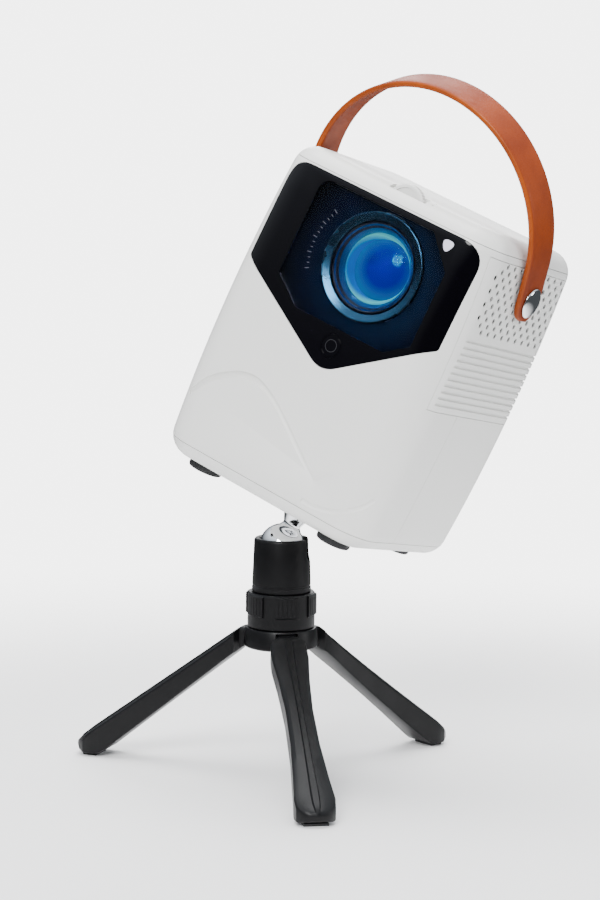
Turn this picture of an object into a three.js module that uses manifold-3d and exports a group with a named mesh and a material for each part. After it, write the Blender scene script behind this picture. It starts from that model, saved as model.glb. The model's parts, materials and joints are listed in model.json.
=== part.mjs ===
// Portable LCD projector screwed to its mini tripod.
// Millimetres, +Z up.  The tripod's front leg points along -Y, the origin is
// the centre of the footprint at floor level.
import * as THREE from 'three';
import { mergeVertices } from 'three/addons/utils/BufferGeometryUtils.js';
import Module from 'manifold-3d';

const wasm = await Module();
wasm.setup();

// ---- driving dimensions ----------------------------------------------------

const GAP = 0.3;                     // air left between neighbouring pieces

// projector body: origin at the middle of its underside, front face towards -Y
const BODY = { width: 147, depth: 128, height: 190, corner: 21, edge: 12, crown: 3.3 };
const SKIN = 2;                      // fascia and vent cover thickness
const WALL = 4.4;                    // skin, gap and inner wall together
const LID_Z = 181.5;                 // seam under the top cover
const SOLE_Z = 8;                    // seam above the base plate
const SPLIT_Y = -18;                 // seam between front and rear shell

// vent cover that wraps each rear corner
const COVER = { front: -53, inner: 40, low: 88.5, high: 177.3 };
const FIN = { count: 6, pitch: 7.6, first: 93.5, height: 2.4, depth: 0.8 };
const VENT = { rows: 3, pitch: 10.5, first: 144, height: 3.4, front: -35, back: 46, boss: 13 };

// glossy five-sided fascia, its clear window and what shows in it
const FASCIA = { left: -64, right: 65, top: 180, shoulder: 120, tip: 80.5, axis: 7.5 };
const FASCIA_ROUND = { top: 14, tip: 16 };
const WINDOW = { left: -41, right: 51, top: 176.5, bottom: 106, chamfer: 17 };
const KEY = { x: 7.5, z: 96, radius: 6.6 };
const SENSOR = { x: 45.2, z: 173.4, radius: 4.4 };

// lens and focus drive, all on one axis along Y
const LENS = { x: 7.5, z: 144 };
const SURROUND = { outer: 30.8, inner: 25.9, front: -59.2, back: -55.9 };
const BARREL = { outer: 25.2, front: -57, back: -12, glass: 20.6 };
const MODULE = 1.2;                  // gear module of the focus drive
const PINION_TEETH = 8;
const RING_TEETH = 56;
const GEAR_FACE = { front: -50, back: -44.4 };
const WHEEL = { radius: 11.5, front: -55.3, back: -50.3, bore: 1.7 };
const WHEEL_Z = LENS.z + MODULE * (PINION_TEETH + RING_TEETH) / 2;
const WHEEL_SLOT = WHEEL.radius + 0.6;  // half length of the slot in the top cover

// strap and its two studs
const STUD_Z = 160.7;
const STRAP = { width: 23.5, thickness: 3.5, half: 74.7, spring: 181, top: 258, lean: 23 };
const STUD = { shank: 2.9, head: 8.8, headThickness: 2.6 };

// rubber feet under the base plate
const FOOT = { x: 46, y: 38, radius: 10, height: 4.5, sunk: 0.9 };

// tripod: heights above the floor, radii from its axis
const BALL_Z = 132.7;
const BALL_R = 13.2;
const BODY_ABOVE_BALL = 28;
const HOUSING = { low: 107, high: 137.7, rLow: 17, rHigh: 16, bore: 13.6 };
const RING = { low: 86.4, high: 106.6, radius: 19.4, pads: 6, padDepth: 1.2 };
const HUB = { low: 74.5, high: 86, rLow: 21.5, rHigh: 20.6, post: 7.6 };
const PIVOT = { r: 15, z: 79.5, pin: 1.8, eye: 4.6 };
const LEG = { tongue: 12, tipR: 128, padLow: 113, padHigh: 124 };
const LEG_COUNT = 3;
const PLATFORM = { radius: 16.5, plate: 2.2, pad: 1.3 };

// rest pose of the ball head, degrees
const HEADING = -14.6;               // direction in which the camera screw leans
const TILT = 23.7;                   // lean of the camera screw from upright
const SWIVEL = -25.4;                // projector turned on the camera screw

const WHITE = { color: 0xe9e9e6, roughness: 0.45, metalness: 0 };
const GLOSS_BLACK = { color: 0x08090c, roughness: 0.08, metalness: 0 };
const CLEAR = { color: 0x1a2338, roughness: 0.04, metalness: 0 };
const BLACK = { color: 0x17181a, roughness: 0.55, metalness: 0 };
const RUBBER = { color: 0x101113, roughness: 0.9, metalness: 0 };
const GLASS = { color: 0x1c4fa8, roughness: 0.03, metalness: 0 };
const CHROME = { color: 0xd8dadd, roughness: 0.08, metalness: 1 };
const STEEL = { color: 0xa9abae, roughness: 0.3, metalness: 1 };
const ALUMINIUM = { color: 0x8f959c, roughness: 0.35, metalness: 1 };
const LEATHER = { color: 0xa4501f, roughness: 0.6, metalness: 0 };
const BOARD = { color: 0x14502c, roughness: 0.5, metalness: 0 };
const BRASS = { color: 0xb0904a, roughness: 0.35, metalness: 1 };

// ---- solids ----------------------------------------------------------------

function manifoldOf(geometry) {
  const bare = geometry.clone();
  bare.deleteAttribute('normal');
  bare.deleteAttribute('uv');
  const merged = mergeVertices(bare, 1e-4);
  return new wasm.Manifold(new wasm.Mesh({
    numProp: 3,
    vertProperties: new Float32Array(merged.attributes.position.array),
    triVerts: new Uint32Array(merged.index.array),
  }));
}

function geometryOf(manifold) {
  const mesh = manifold.getMesh();
  const geometry = new THREE.BufferGeometry();
  geometry.setAttribute('position', new THREE.BufferAttribute(mesh.vertProperties, 3));
  geometry.setIndex(new THREE.BufferAttribute(mesh.triVerts, 1));
  return geometry;
}

function combine(operation, first, others) {
  let result = manifoldOf(first);
  for (const other of others) result = result[operation](manifoldOf(other));
  return geometryOf(result);
}

const cut = (first, ...others) => combine('subtract', first, others);
const join = (first, ...others) => combine('add', first, others);
const common = (first, ...others) => combine('intersect', first, others);

// box between two corners
function block(low, high) {
  const size = high.map((value, i) => value - low[i]);
  const middle = high.map((value, i) => (value + low[i]) / 2);
  return new THREE.BoxGeometry(...size).translate(...middle);
}

// turned piece about an axis through a point; profile is [radius, height] pairs
function turned(profile, axis, point, segments = 20) {
  const geometry = new THREE.LatheGeometry(profile.map(([r, h]) => new THREE.Vector2(r, h)), segments);
  if (axis === 'z') geometry.rotateX(Math.PI / 2);
  if (axis === 'x') geometry.rotateZ(-Math.PI / 2);
  return geometry.translate(...point);
}

// solid cylinder from height a to height b along an axis
function rod(radius, a, b, axis, point, segments = 20) {
  return turned([[0, a], [radius, a], [radius, b], [0, b]], axis, point, segments);
}

// tube from height a to height b along an axis
function tube(inner, outer, a, b, axis, point, segments = 24) {
  return turned([[inner, a], [outer, a], [outer, b], [inner, b], [inner, a]], axis, point, segments);
}

// outline in the XZ plane pushed along Y from a to b
function slabY(shape, a, b, curveSegments = 4) {
  const geometry = new THREE.ExtrudeGeometry(shape, { depth: b - a, bevelEnabled: false, curveSegments });
  return geometry.rotateX(Math.PI / 2).translate(0, b, 0);
}

function shapeOf(points) {
  return new THREE.Shape(points.map(([u, v]) => new THREE.Vector2(u, v)));
}

// closed outline whose corners are rounded by [u, v, radius] entries
function roundedShape(corners) {
  const shape = new THREE.Shape();
  corners.forEach(([u, v, radius], i) => {
    const here = new THREE.Vector2(u, v);
    const before = new THREE.Vector2(...corners.at(i - 1));
    const after = new THREE.Vector2(...corners[(i + 1) % corners.length]);
    const toBefore = before.sub(here).normalize();
    const toAfter = after.sub(here).normalize();
    const halfAngle = Math.acos(toBefore.dot(toAfter)) / 2;
    const reach = radius / Math.tan(halfAngle);
    const start = here.clone().addScaledVector(toBefore, reach);
    const end = here.clone().addScaledVector(toAfter, reach);
    if (i === 0) shape.moveTo(start.x, start.y);
    else shape.lineTo(start.x, start.y);
    if (radius > 0) shape.quadraticCurveTo(u, v, end.x, end.y);
  });
  shape.closePath();
  return shape;
}

// the body's outer form, set in by an even amount, with crowned walls
function bodyForm(inset) {
  const w = BODY.width / 2 - inset;
  const d = BODY.depth / 2 - inset;
  const r = BODY.corner - inset;
  const e = BODY.edge - inset;
  const outline = new THREE.Shape();
  outline.absarc(w - r, d - r, r, 0, Math.PI / 2);
  outline.absarc(r - w, d - r, r, Math.PI / 2, Math.PI);
  outline.absarc(r - w, r - d, r, Math.PI, 1.5 * Math.PI);
  outline.absarc(w - r, r - d, r, 1.5 * Math.PI, 2 * Math.PI);
  const geometry = new THREE.ExtrudeGeometry(outline, {
    depth: BODY.height - 2 * BODY.edge,
    steps: 4,
    curveSegments: 6,
    bevelThickness: e,
    bevelSize: e,
    bevelOffset: -e,
    bevelSegments: 3,
  });
  geometry.translate(0, 0, BODY.edge);
  const position = geometry.attributes.position;
  const mid = BODY.height / 2;
  for (let i = 0; i < position.count; i += 1) {
    const pull = BODY.crown * ((position.getZ(i) - mid) / mid) ** 2;
    position.setX(i, position.getX(i) * (1 - 2 * pull / BODY.width));
    position.setY(i, position.getY(i) * (1 - 2 * pull / BODY.depth));
  }
  return geometry;
}

const FAR = 200;                     // half size of a cutting block
const outer = bodyForm(0);
const underSkin = bodyForm(SKIN);
const pocketFloor = bodyForm(SKIN + GAP);
const cavity = bodyForm(WALL);
const skinLayer = cut(outer, underSkin);

// zone of one vent cover, grown all round by an amount
function coverZone(side, grow) {
  const low = [COVER.inner - grow, COVER.front - grow, COVER.low - grow];
  const high = [FAR, FAR, COVER.high + grow];
  if (side > 0) return block(low, high);
  return block([-high[0], low[1], low[2]], [-low[0], high[1], high[2]]);
}

// five-sided fascia outline, grown all round by an amount
function fasciaShape(grow) {
  return roundedShape([
    [FASCIA.axis, FASCIA.tip - grow * 1.2, FASCIA_ROUND.tip],
    [FASCIA.right + grow, FASCIA.shoulder - grow * 0.5, 0],
    [FASCIA.right + grow, FASCIA.top + grow, FASCIA_ROUND.top],
    [FASCIA.left - grow, FASCIA.top + grow, FASCIA_ROUND.top],
    [FASCIA.left - grow, FASCIA.shoulder - grow * 0.5, 0],
  ]);
}

function windowShape(grow) {
  const slope = (FASCIA.shoulder - FASCIA.tip) / (FASCIA.right - FASCIA.axis);
  const margin = 5;
  const rise = (x) => FASCIA.tip + margin + slope * Math.abs(x - FASCIA.axis);
  return roundedShape([
    [WINDOW.left - grow, rise(WINDOW.left), 0],
    [FASCIA.axis - (WINDOW.bottom - FASCIA.tip - margin) / slope, WINDOW.bottom - grow, 0],
    [FASCIA.axis + (WINDOW.bottom - FASCIA.tip - margin) / slope, WINDOW.bottom - grow, 0],
    [WINDOW.right + grow, rise(WINDOW.right), 0],
    [WINDOW.right + grow, WINDOW.top - WINDOW.chamfer, 0],
    [WINDOW.right - WINDOW.chamfer, WINDOW.top + grow, 0],
    [WINDOW.left - grow, WINDOW.top + grow, 8],
  ]);
}

function sensorShape(grow) {
  const r = SENSOR.radius + grow;
  return roundedShape([0, 1, 2].map((k) => {
    const angle = -Math.PI / 2 + k * 2 * Math.PI / 3;
    return [SENSOR.x + 1.25 * r * Math.cos(angle), SENSOR.z + 1.25 * r * Math.sin(angle), r * 0.6];
  }));
}

const root = new THREE.Group();
const assembly = new THREE.Group();
root.add(assembly);

function place(parent, name, geometry, finish) {
  const mesh = new THREE.Mesh(geometry, new THREE.MeshStandardMaterial(finish));
  mesh.name = name;
  parent.add(mesh);
  return mesh;
}

// ---- housing of the projector ----------------------------------------------

const stand = new THREE.Group();
const pan = new THREE.Group();
pan.position.z = BALL_Z;
pan.rotation.z = THREE.MathUtils.degToRad(HEADING);
const tilt = new THREE.Group();
tilt.rotation.y = THREE.MathUtils.degToRad(TILT);
const projector = new THREE.Group();
projector.position.z = BODY_ABOVE_BALL;
projector.rotation.z = THREE.MathUtils.degToRad(SWIVEL);
assembly.add(stand, pan);
pan.add(tilt);
tilt.add(projector);

// geometry mirrored in the YZ plane keeps its faces pointing out
function mirrored(geometry) {
  const copy = geometry.clone().scale(-1, 1, 1);
  const index = copy.index.array;
  for (let i = 0; i < index.length; i += 3) [index[i], index[i + 1]] = [index[i + 1], index[i]];
  return copy;
}

function ventCover() {
  const grooves = [];
  for (let i = 0; i < FIN.count; i += 1) {
    const z = FIN.first + i * FIN.pitch;
    grooves.push(cut(
      block([0, -49, z - FIN.height / 2], [FAR, FAR, z + FIN.height / 2]),
      bodyForm(FIN.depth),
    ));
  }
  const slots = [];
  for (let i = 0; i < VENT.rows; i += 1) {
    const z = VENT.first + i * VENT.pitch;
    slots.push(block([60, VENT.front, z], [FAR, -VENT.boss, z + VENT.height]));
    slots.push(block([60, VENT.boss, z], [FAR, VENT.back, z + VENT.height]));
  }
  const hole = rod(STUD.shank + GAP, 0, FAR, 'x', [0, 0, STUD_Z], 16);
  return cut(common(skinLayer, coverZone(1, 0)), ...grooves, ...slots, hole);
}

// window through the inner wall behind a vent cover, leaving the stud's boss
function ventWindow(side) {
  const opening = cut(
    block([60, -42, 97], [FAR, 44, 172]),
    block([0, -VENT.boss, 146], [FAR, VENT.boss, 176]),
  );
  return side > 0 ? opening : mirrored(opening);
}

const shellBlank = cut(
  outer,
  cavity,
  cut(coverZone(1, GAP), pocketFloor),
  cut(coverZone(-1, GAP), pocketFloor),
  ventWindow(1),
  ventWindow(-1),
  rod(STUD.shank + GAP, -FAR, FAR, 'x', [0, 0, STUD_Z], 16),
);

const wallOpening = roundedShape([
  [FASCIA.axis, FASCIA.tip + 28, 10],
  [55, 126, 0],
  [55, 176, 10],
  [-46, 176, 10],
  [-46, 126, 0],
]);

place(projector, 'front_shell', cut(
  common(shellBlank, block([-FAR, -FAR, SOLE_Z + GAP], [FAR, SPLIT_Y - GAP, LID_Z - GAP])),
  cut(slabY(fasciaShape(GAP), -FAR, 0), pocketFloor),
  slabY(wallOpening, -FAR, 0),
  rod(KEY.radius + 0.6, -FAR, -60, 'y', [KEY.x, 0, KEY.z], 24),
  rod(3.4, -FAR, 0, 'y', [KEY.x, 0, KEY.z], 16),
  rod(3, -FAR, 0, 'y', [SENSOR.x, 0, SENSOR.z], 12),
), WHITE);

// sockets that come through the rear wall: [name, x, z, width, height]
const SOCKETS = [
  ['hdmi_port', -34, 40, 15, 6],
  ['usb_port', -10, 40, 13, 6],
  ['audio_jack', 12, 40, 7, 7],
  ['dc_inlet', 34, 40, 9, 9],
];
const SOCKET_FRONT = 51.9;
const REAR_FACE = BODY.depth / 2 - 1;

place(projector, 'rear_shell', cut(
  common(shellBlank, block([-FAR, SPLIT_Y, SOLE_Z + GAP], [FAR, FAR, LID_Z - GAP])),
  ...SOCKETS.map(([, x, z, w, h]) => block(
    [x - w / 2 - GAP, 0, z - h / 2 - GAP],
    [x + w / 2 + GAP, FAR, z + h / 2 + GAP],
  )),
), WHITE);

place(projector, 'top_cover', cut(
  common(outer, block([-FAR, -FAR, LID_Z], [FAR, FAR, FAR + BODY.height])),
  cavity,
  block([LENS.x - WHEEL_SLOT, WHEEL.front - 0.8, 0], [LENS.x + WHEEL_SLOT, WHEEL.back + 0.8, FAR]),
  block([LENS.x - 7, WHEEL.back, 0], [LENS.x + 7, -37, WHEEL_Z + 6.2]),
), WHITE);

const footPoints = [[1, -1], [1, 1], [-1, 1], [-1, -1]].map(([sx, sy]) => [sx * FOOT.x, sy * FOOT.y]);

place(projector, 'base_plate', cut(
  common(outer, block([-FAR, -FAR, -FAR], [FAR, FAR, SOLE_Z])),
  cavity,
  rod(3.6, -FAR, FAR, 'z', [0, 0, 0], 24),
  ...footPoints.map(([x, y]) => rod(FOOT.radius + GAP, -FAR, FOOT.sunk + GAP, 'z', [x, y, 0], 20)),
), WHITE);

const rightCover = ventCover();
place(projector, 'right_vent_cover', rightCover, WHITE);
place(projector, 'left_vent_cover', mirrored(rightCover), WHITE);

footPoints.forEach(([x, y], i) => {
  place(projector, `rubber_foot_${i + 1}`, turned([
    [0, -FOOT.height], [FOOT.radius - 1, -FOOT.height], [FOOT.radius, -FOOT.height + 1],
    [FOOT.radius, FOOT.sunk], [0, FOOT.sunk],
  ], 'z', [x, y, 0], 20), RUBBER);
});

place(projector, 'tripod_nut', tube(3.5, 7, WALL + GAP, WALL + 6.5, 'z', [0, 0, 0], 24), BRASS);

// ---- fascia, window, key and sensor ----------------------------------------

const fasciaLayer = common(skinLayer, block([-FAR, -FAR, 0], [FAR, 0, FAR]));

place(projector, 'front_fascia', cut(
  common(fasciaLayer, slabY(fasciaShape(0), -FAR, 0)),
  slabY(windowShape(GAP), -FAR, 0),
  slabY(sensorShape(0.2), -FAR, 0),
  rod(KEY.radius + GAP, -FAR, 0, 'y', [KEY.x, 0, KEY.z], 32),
), GLOSS_BLACK);

place(projector, 'front_window', common(fasciaLayer, slabY(windowShape(0), -FAR, 0)), CLEAR);

place(projector, 'sensor_window', common(fasciaLayer, slabY(sensorShape(0), -FAR, 0)), WHITE);

place(projector, 'power_key', join(
  common(fasciaLayer, rod(KEY.radius, -FAR, 0, 'y', [KEY.x, 0, KEY.z], 32)),
  rod(3, -62.2, -56, 'y', [KEY.x, 0, KEY.z], 16),
), GLOSS_BLACK);

// ---- lens, focus drive and light engine ------------------------------------

const lensAxis = [LENS.x, 0, LENS.z];

place(projector, 'lens_hood', cut(
  slabY(roundedShape([[-46, 100, 4], [51.6, 100, 4], [51.6, 176.6, 8], [-46, 176.6, 8]]), -57, -55.8),
  rod(SURROUND.outer + GAP, -FAR, 0, 'y', lensAxis, 32),
  rod(3.6, -FAR, 0, 'y', [KEY.x, 0, KEY.z], 16),
), BLACK);

place(projector, 'lens_surround_ring', turned([
  [SURROUND.inner + 1.6, SURROUND.front], [SURROUND.outer - 0.6, SURROUND.front],
  [SURROUND.outer, SURROUND.front + 0.6], [SURROUND.outer, SURROUND.back],
  [SURROUND.inner, SURROUND.back], [SURROUND.inner, SURROUND.front + 1.6],
  [SURROUND.inner + 1.6, SURROUND.front],
], 'y', lensAxis, 32), ALUMINIUM);

place(projector, 'lens_barrel', turned([
  [BARREL.glass + 1.6, BARREL.front], [BARREL.outer, BARREL.front],
  [BARREL.outer, BARREL.back], [17, BARREL.back], [17, -21], [BARREL.glass - 1.2, -24],
  [BARREL.glass - 1.2, -49.6], [BARREL.glass + GAP, -49.6], [BARREL.glass + GAP, -55],
  [BARREL.glass + 1.6, BARREL.front],
], 'y', lensAxis, 24), BLACK);

place(projector, 'front_lens', turned([
  [0, -56], [8, -55.4], [15, -53.6], [BARREL.glass, -51.4],
  [BARREL.glass, -49.9], [12, -48.6], [0, -47.9],
], 'y', lensAxis, 32), GLASS);

place(projector, 'rear_lens', turned([
  [0, -19.6], [10, -18.8], [16.7, -16.6], [16.7, -14.4], [10, -13], [0, -12.4],
], 'y', lensAxis, 24), GLASS);

// trapezoid-toothed gear outline; a tooth points at the given angle
function gearShape(teeth, phase, bore) {
  const pitchRadius = MODULE * teeth / 2;
  const tipRadius = pitchRadius + 0.65 * MODULE;
  const rootRadius = pitchRadius - 1.0 * MODULE;
  const step = 2 * Math.PI / teeth;
  const points = [];
  for (let i = 0; i < teeth; i += 1) {
    const middle = phase + i * step;
    for (const [radius, share] of [
      [rootRadius, -0.29], [tipRadius, -0.13], [tipRadius, 0.13], [rootRadius, 0.29],
    ]) {
      const angle = middle + share * step;
      points.push([radius * Math.cos(angle), radius * Math.sin(angle)]);
    }
  }
  const shape = shapeOf(points);
  const hole = new THREE.Path();
  hole.absarc(0, 0, bore, 0, 2 * Math.PI, true);
  shape.holes.push(hole);
  return shape;
}

// the ring has a gap between teeth where the pinion's lowest tooth dips in
const ringPhase = Math.PI / 2 + Math.PI / RING_TEETH;
const focusRing = slabY(
  gearShape(RING_TEETH, ringPhase, BARREL.outer + GAP),
  GEAR_FACE.front,
  GEAR_FACE.back,
  14,
);
place(projector, 'focus_ring', focusRing.translate(LENS.x, 0, LENS.z), BLACK);

const pinion = slabY(gearShape(PINION_TEETH, -Math.PI / 2, WHEEL.bore), WHEEL.back - 0.1, GEAR_FACE.back, 8);
const grips = 20;
const gripShape = shapeOf(Array.from({ length: 2 * grips }, (_, i) => {
  const radius = WHEEL.radius - (i % 2) * 0.5;
  const angle = i * Math.PI / grips;
  return [radius * Math.cos(angle), radius * Math.sin(angle)];
}));
const rim = cut(slabY(gripShape, WHEEL.front, WHEEL.back), rod(WHEEL.bore, -FAR, 0, 'y', [0, 0, 0], 16));
place(projector, 'focus_wheel', join(rim, pinion).translate(LENS.x, 0, WHEEL_Z), BLACK);

place(projector, 'focus_pin', rod(1.5, -55.5, -37, 'y', [LENS.x, 0, WHEEL_Z], 16), STEEL);

// guide tube with the arm that carries the focus pin
const arm = block([LENS.x - 4, -43.6, LENS.z + 27], [LENS.x + 4, -38, LENS.z + 41]);
const flange = roundedShape([
  [LENS.x - 32, 112, 6], [LENS.x + 32, 112, 6], [LENS.x + 32, 176, 6], [LENS.x - 32, 176, 6],
]);
place(projector, 'lens_mount', cut(
  join(
    rod(28.2, -43.6, -8, 'y', lensAxis, 32),
    slabY(flange, -11, -8),
    arm,
  ),
  rod(BARREL.outer + GAP, -FAR, 0, 'y', lensAxis, 32),
  rod(1.5 + 0.2, -FAR, 0, 'y', [LENS.x, 0, WHEEL_Z], 16),
), BLACK);

// dark box around the light path, open to the lens and to the lamp
const ENGINE = { left: -34, right: 49, low: 109, high: 178.5, front: -7.6, back: 36, wall: 2 };
const engineMid = (ENGINE.left + ENGINE.right) / 2;
place(projector, 'optical_box', cut(
  block([ENGINE.left, ENGINE.front, ENGINE.low], [ENGINE.right, ENGINE.back, ENGINE.high]),
  block(
    [ENGINE.left + ENGINE.wall, ENGINE.front + ENGINE.wall, ENGINE.low + ENGINE.wall],
    [ENGINE.right - ENGINE.wall, ENGINE.back - ENGINE.wall, ENGINE.high - ENGINE.wall],
  ),
  rod(20, -FAR, 0, 'y', lensAxis, 32),
  block([LENS.x - 18, 0, LENS.z - 18], [LENS.x + 18, FAR, LENS.z + 18]),
), BLACK);

// flat optics: [node, y, thickness, width, height, finish]
const PLATES = [
  ['fresnel_lens', -2, 1.6, 72, 58, CLEAR],
  ['lcd_panel', 4, 1.4, 74, 60, GLOSS_BLACK],
  ['rear_fresnel', 10, 1.6, 72, 58, CLEAR],
];
for (const [name, y, thickness, w, h, finish] of PLATES) {
  place(projector, name, block(
    [engineMid - w / 2, y, LENS.z - h / 2],
    [engineMid + w / 2, y + thickness, LENS.z + h / 2],
  ), finish);
}

place(projector, 'condenser_lens', turned([
  [0, 18], [9, 19.4], [15, 22.6], [16, 26], [0, 26],
], 'y', lensAxis, 32), GLASS);

place(projector, 'led_board', join(
  block([LENS.x - 17, 37.5, LENS.z - 17], [LENS.x + 17, 39, LENS.z + 17]),
  block([LENS.x - 5, 35, LENS.z - 5], [LENS.x + 5, 37.6, LENS.z + 5]),
), WHITE);

const SINK = { base: 3, fins: 9, width: 52, height: 58, front: 39.4, back: 57 };
const sinkFins = Array.from({ length: SINK.fins }, (_, i) => {
  const x = LENS.x - SINK.width / 2 + i * (SINK.width - 1.4) / (SINK.fins - 1);
  return block(
    [x, SINK.front + 1, LENS.z - SINK.height / 2],
    [x + 1.4, SINK.back, LENS.z + SINK.height / 2],
  );
});
place(projector, 'heat_sink', join(
  block(
    [LENS.x - SINK.width / 2, SINK.front, LENS.z - SINK.height / 2],
    [LENS.x + SINK.width / 2, SINK.front + SINK.base, LENS.z + SINK.height / 2],
  ),
  ...sinkFins,
), ALUMINIUM);

// ---- fan, speaker and boards -----------------------------------------------

const FAN = { x: -66.8, thickness: 14, y: 4, z: 138, half: 29, bore: 27, hub: 10, blades: 7 };
place(projector, 'fan_frame', cut(
  block(
    [FAN.x, FAN.y - FAN.half, FAN.z - FAN.half],
    [FAN.x + FAN.thickness, FAN.y + FAN.half, FAN.z + FAN.half],
  ),
  rod(FAN.bore, FAN.x + 2, FAN.x + 30, 'x', [0, FAN.y, FAN.z], 24),
  cut(
    rod(FAN.bore, FAN.x - 5, FAN.x + 5, 'x', [0, FAN.y, FAN.z], 24),
    block([-FAR, FAN.y - 2, FAN.z - 28], [FAR, FAN.y + 2, FAN.z + 28]),
    block([-FAR, FAN.y - 28, FAN.z - 2], [FAR, FAN.y + 28, FAN.z + 2]),
    rod(FAN.hub, -FAR, FAR, 'x', [0, FAN.y, FAN.z], 24),
  ),
), BLACK);

const fanMiddle = FAN.x + FAN.thickness / 2 + 1.6;
const blades = Array.from({ length: FAN.blades }, (_, i) => {
  const blade = new THREE.BoxGeometry(8, 1.2, FAN.bore - FAN.hub);
  blade.rotateZ(0.7);
  blade.translate(0, 0, (FAN.bore + FAN.hub) / 2 - 1.2);
  return blade.rotateX(i * 2 * Math.PI / FAN.blades).translate(fanMiddle, FAN.y, FAN.z);
});
place(projector, 'fan_rotor', join(
  rod(FAN.hub, fanMiddle - 4, fanMiddle + 5, 'x', [0, FAN.y, FAN.z], 24),
  ...blades,
), BLACK);

place(projector, 'speaker', turned([
  [0, 51.5], [13, 51.5], [13, 57], [21, 64.4], [21, 66.4], [19, 66.4], [5, 66], [0, 65.5],
], 'x', [0, 10, 138], 24), BLACK);

place(projector, 'main_board', block([-52, 50, 16], [52, 51.6, 86]), BOARD);
place(projector, 'power_board', block([-50, -44, 15], [50, 40, 16.6]), BOARD);

for (const [name, x, z, w, h] of SOCKETS) {
  place(projector, name, cut(
    block([x - w / 2, SOCKET_FRONT, z - h / 2], [x + w / 2, REAR_FACE, z + h / 2]),
    block([x - w / 2 + 1, REAR_FACE - 7, z - h / 2 + 1], [x + w / 2 - 1, FAR, z + h / 2 - 1]),
  ), STEEL);
}

// ---- carrying strap --------------------------------------------------------

const strapGroup = new THREE.Group();
strapGroup.position.z = STUD_Z;
strapGroup.rotation.x = THREE.MathUtils.degToRad(STRAP.lean);
projector.add(strapGroup);

// arch outline at a distance from the strap's middle line
function archPoints(offset, count) {
  const half = STRAP.half + offset;
  const springZ = STRAP.spring - STUD_Z;
  const rise = STRAP.top - STRAP.spring + offset;
  return Array.from({ length: count + 1 }, (_, i) => {
    const angle = i * Math.PI / count;
    return [half * Math.cos(angle), springZ + rise * Math.sin(angle)];
  });
}

const t = STRAP.thickness / 2;
const tabLow = -STRAP.width / 2;
const bandShape = shapeOf([
  [STRAP.half + t, tabLow],
  ...archPoints(t, 20),
  [-STRAP.half - t, tabLow],
  [-STRAP.half + t, tabLow],
  ...archPoints(-t, 20).reverse(),
  [STRAP.half - t, tabLow],
]);
const tabRound = join(
  rod(STRAP.width / 2, -90, 90, 'x', [0, 0, 0], 32),
  block([-90, -STRAP.width, 0], [90, STRAP.width, 120]),
);
place(strapGroup, 'carry_strap', cut(
  common(slabY(bandShape, -STRAP.width / 2, STRAP.width / 2), tabRound),
  rod(STUD.shank + GAP, -90, 90, 'x', [0, 0, 0], 16),
), LEATHER);

const strapFace = STRAP.half + t;
const stud = turned([
  [0, 68], [STUD.shank, 68], [STUD.shank, strapFace + GAP], [STUD.head, strapFace + GAP],
  [STUD.head, strapFace + 1.3], [STUD.head - 1.4, strapFace + STUD.headThickness],
  [0, strapFace + STUD.headThickness + 0.3],
], 'x', [0, 0, STUD_Z], 16);
place(projector, 'strap_stud_right', stud, CHROME);
place(projector, 'strap_stud_left', mirrored(mergeVertices(stud)), CHROME);

// ---- ball head -------------------------------------------------------------

const PAD_TOP = BODY_ABOVE_BALL - GAP;
const PLATE_TOP = PAD_TOP - PLATFORM.pad;
const PLATE_LOW = PLATE_TOP - PLATFORM.plate;

// ball, neck, underside disc and camera screw in one turned piece
const ballArc = Array.from({ length: 10 }, (_, i) => {
  const angle = -Math.PI / 2 + i * THREE.MathUtils.degToRad(152) / 9;
  return [BALL_R * Math.cos(angle), BALL_R * Math.sin(angle)];
});
ballArc[0][0] = 0;
place(tilt, 'ball_stud', turned([
  ...ballArc,
  [5.6, 15], [8, PLATE_LOW - 3.6], [14, PLATE_LOW - 2.8], [14, PLATE_LOW - GAP],
  [3.1, PLATE_LOW - GAP], [3.1, BODY_ABOVE_BALL + 8],
  [2.4, BODY_ABOVE_BALL + 8.8], [0, BODY_ABOVE_BALL + 8.8],
], 'z', [0, 0, 0], 24), CHROME);

const platformPlate = tube(3.3, PLATFORM.radius, PLATE_LOW, PLATE_TOP - 0.1, 'z', [0, 0, 0], 28);
const platformPad = tube(3.5, PLATFORM.radius - 0.5, PLATE_TOP + 0.1, PAD_TOP, 'z', [0, 0, 0], 28);
place(tilt, 'platform_plate', platformPlate, BLACK);
place(tilt, 'platform_pad', platformPad, RUBBER);

const houseLow = HOUSING.low - BALL_Z;
const houseHigh = HOUSING.high - BALL_Z;
const socketArc = Array.from({ length: 6 }, (_, i) => {
  const angle = THREE.MathUtils.degToRad(-20) + i * THREE.MathUtils.degToRad(41) / 5;
  return [HOUSING.bore * Math.cos(angle), HOUSING.bore * Math.sin(angle)];
});
// drop-down notch lets the neck lean further on one side
const notch = join(
  rod(6.4, 6, 40, 'x', [0, 0, -3], 20),
  block([6, -6.4, -3], [40, 6.4, 30]),
);
place(pan, 'ball_housing', cut(
  turned([
    [13, houseLow], [HOUSING.rLow, houseLow], [HOUSING.rLow, houseLow + 2],
    [HOUSING.rHigh, houseHigh - 1], [HOUSING.rHigh - 0.8, houseHigh],
    ...socketArc.slice().reverse(),
    [13, -8], [13, houseLow],
  ], 'z', [0, 0, 0], 28),
  notch,
), BLACK);

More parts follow.
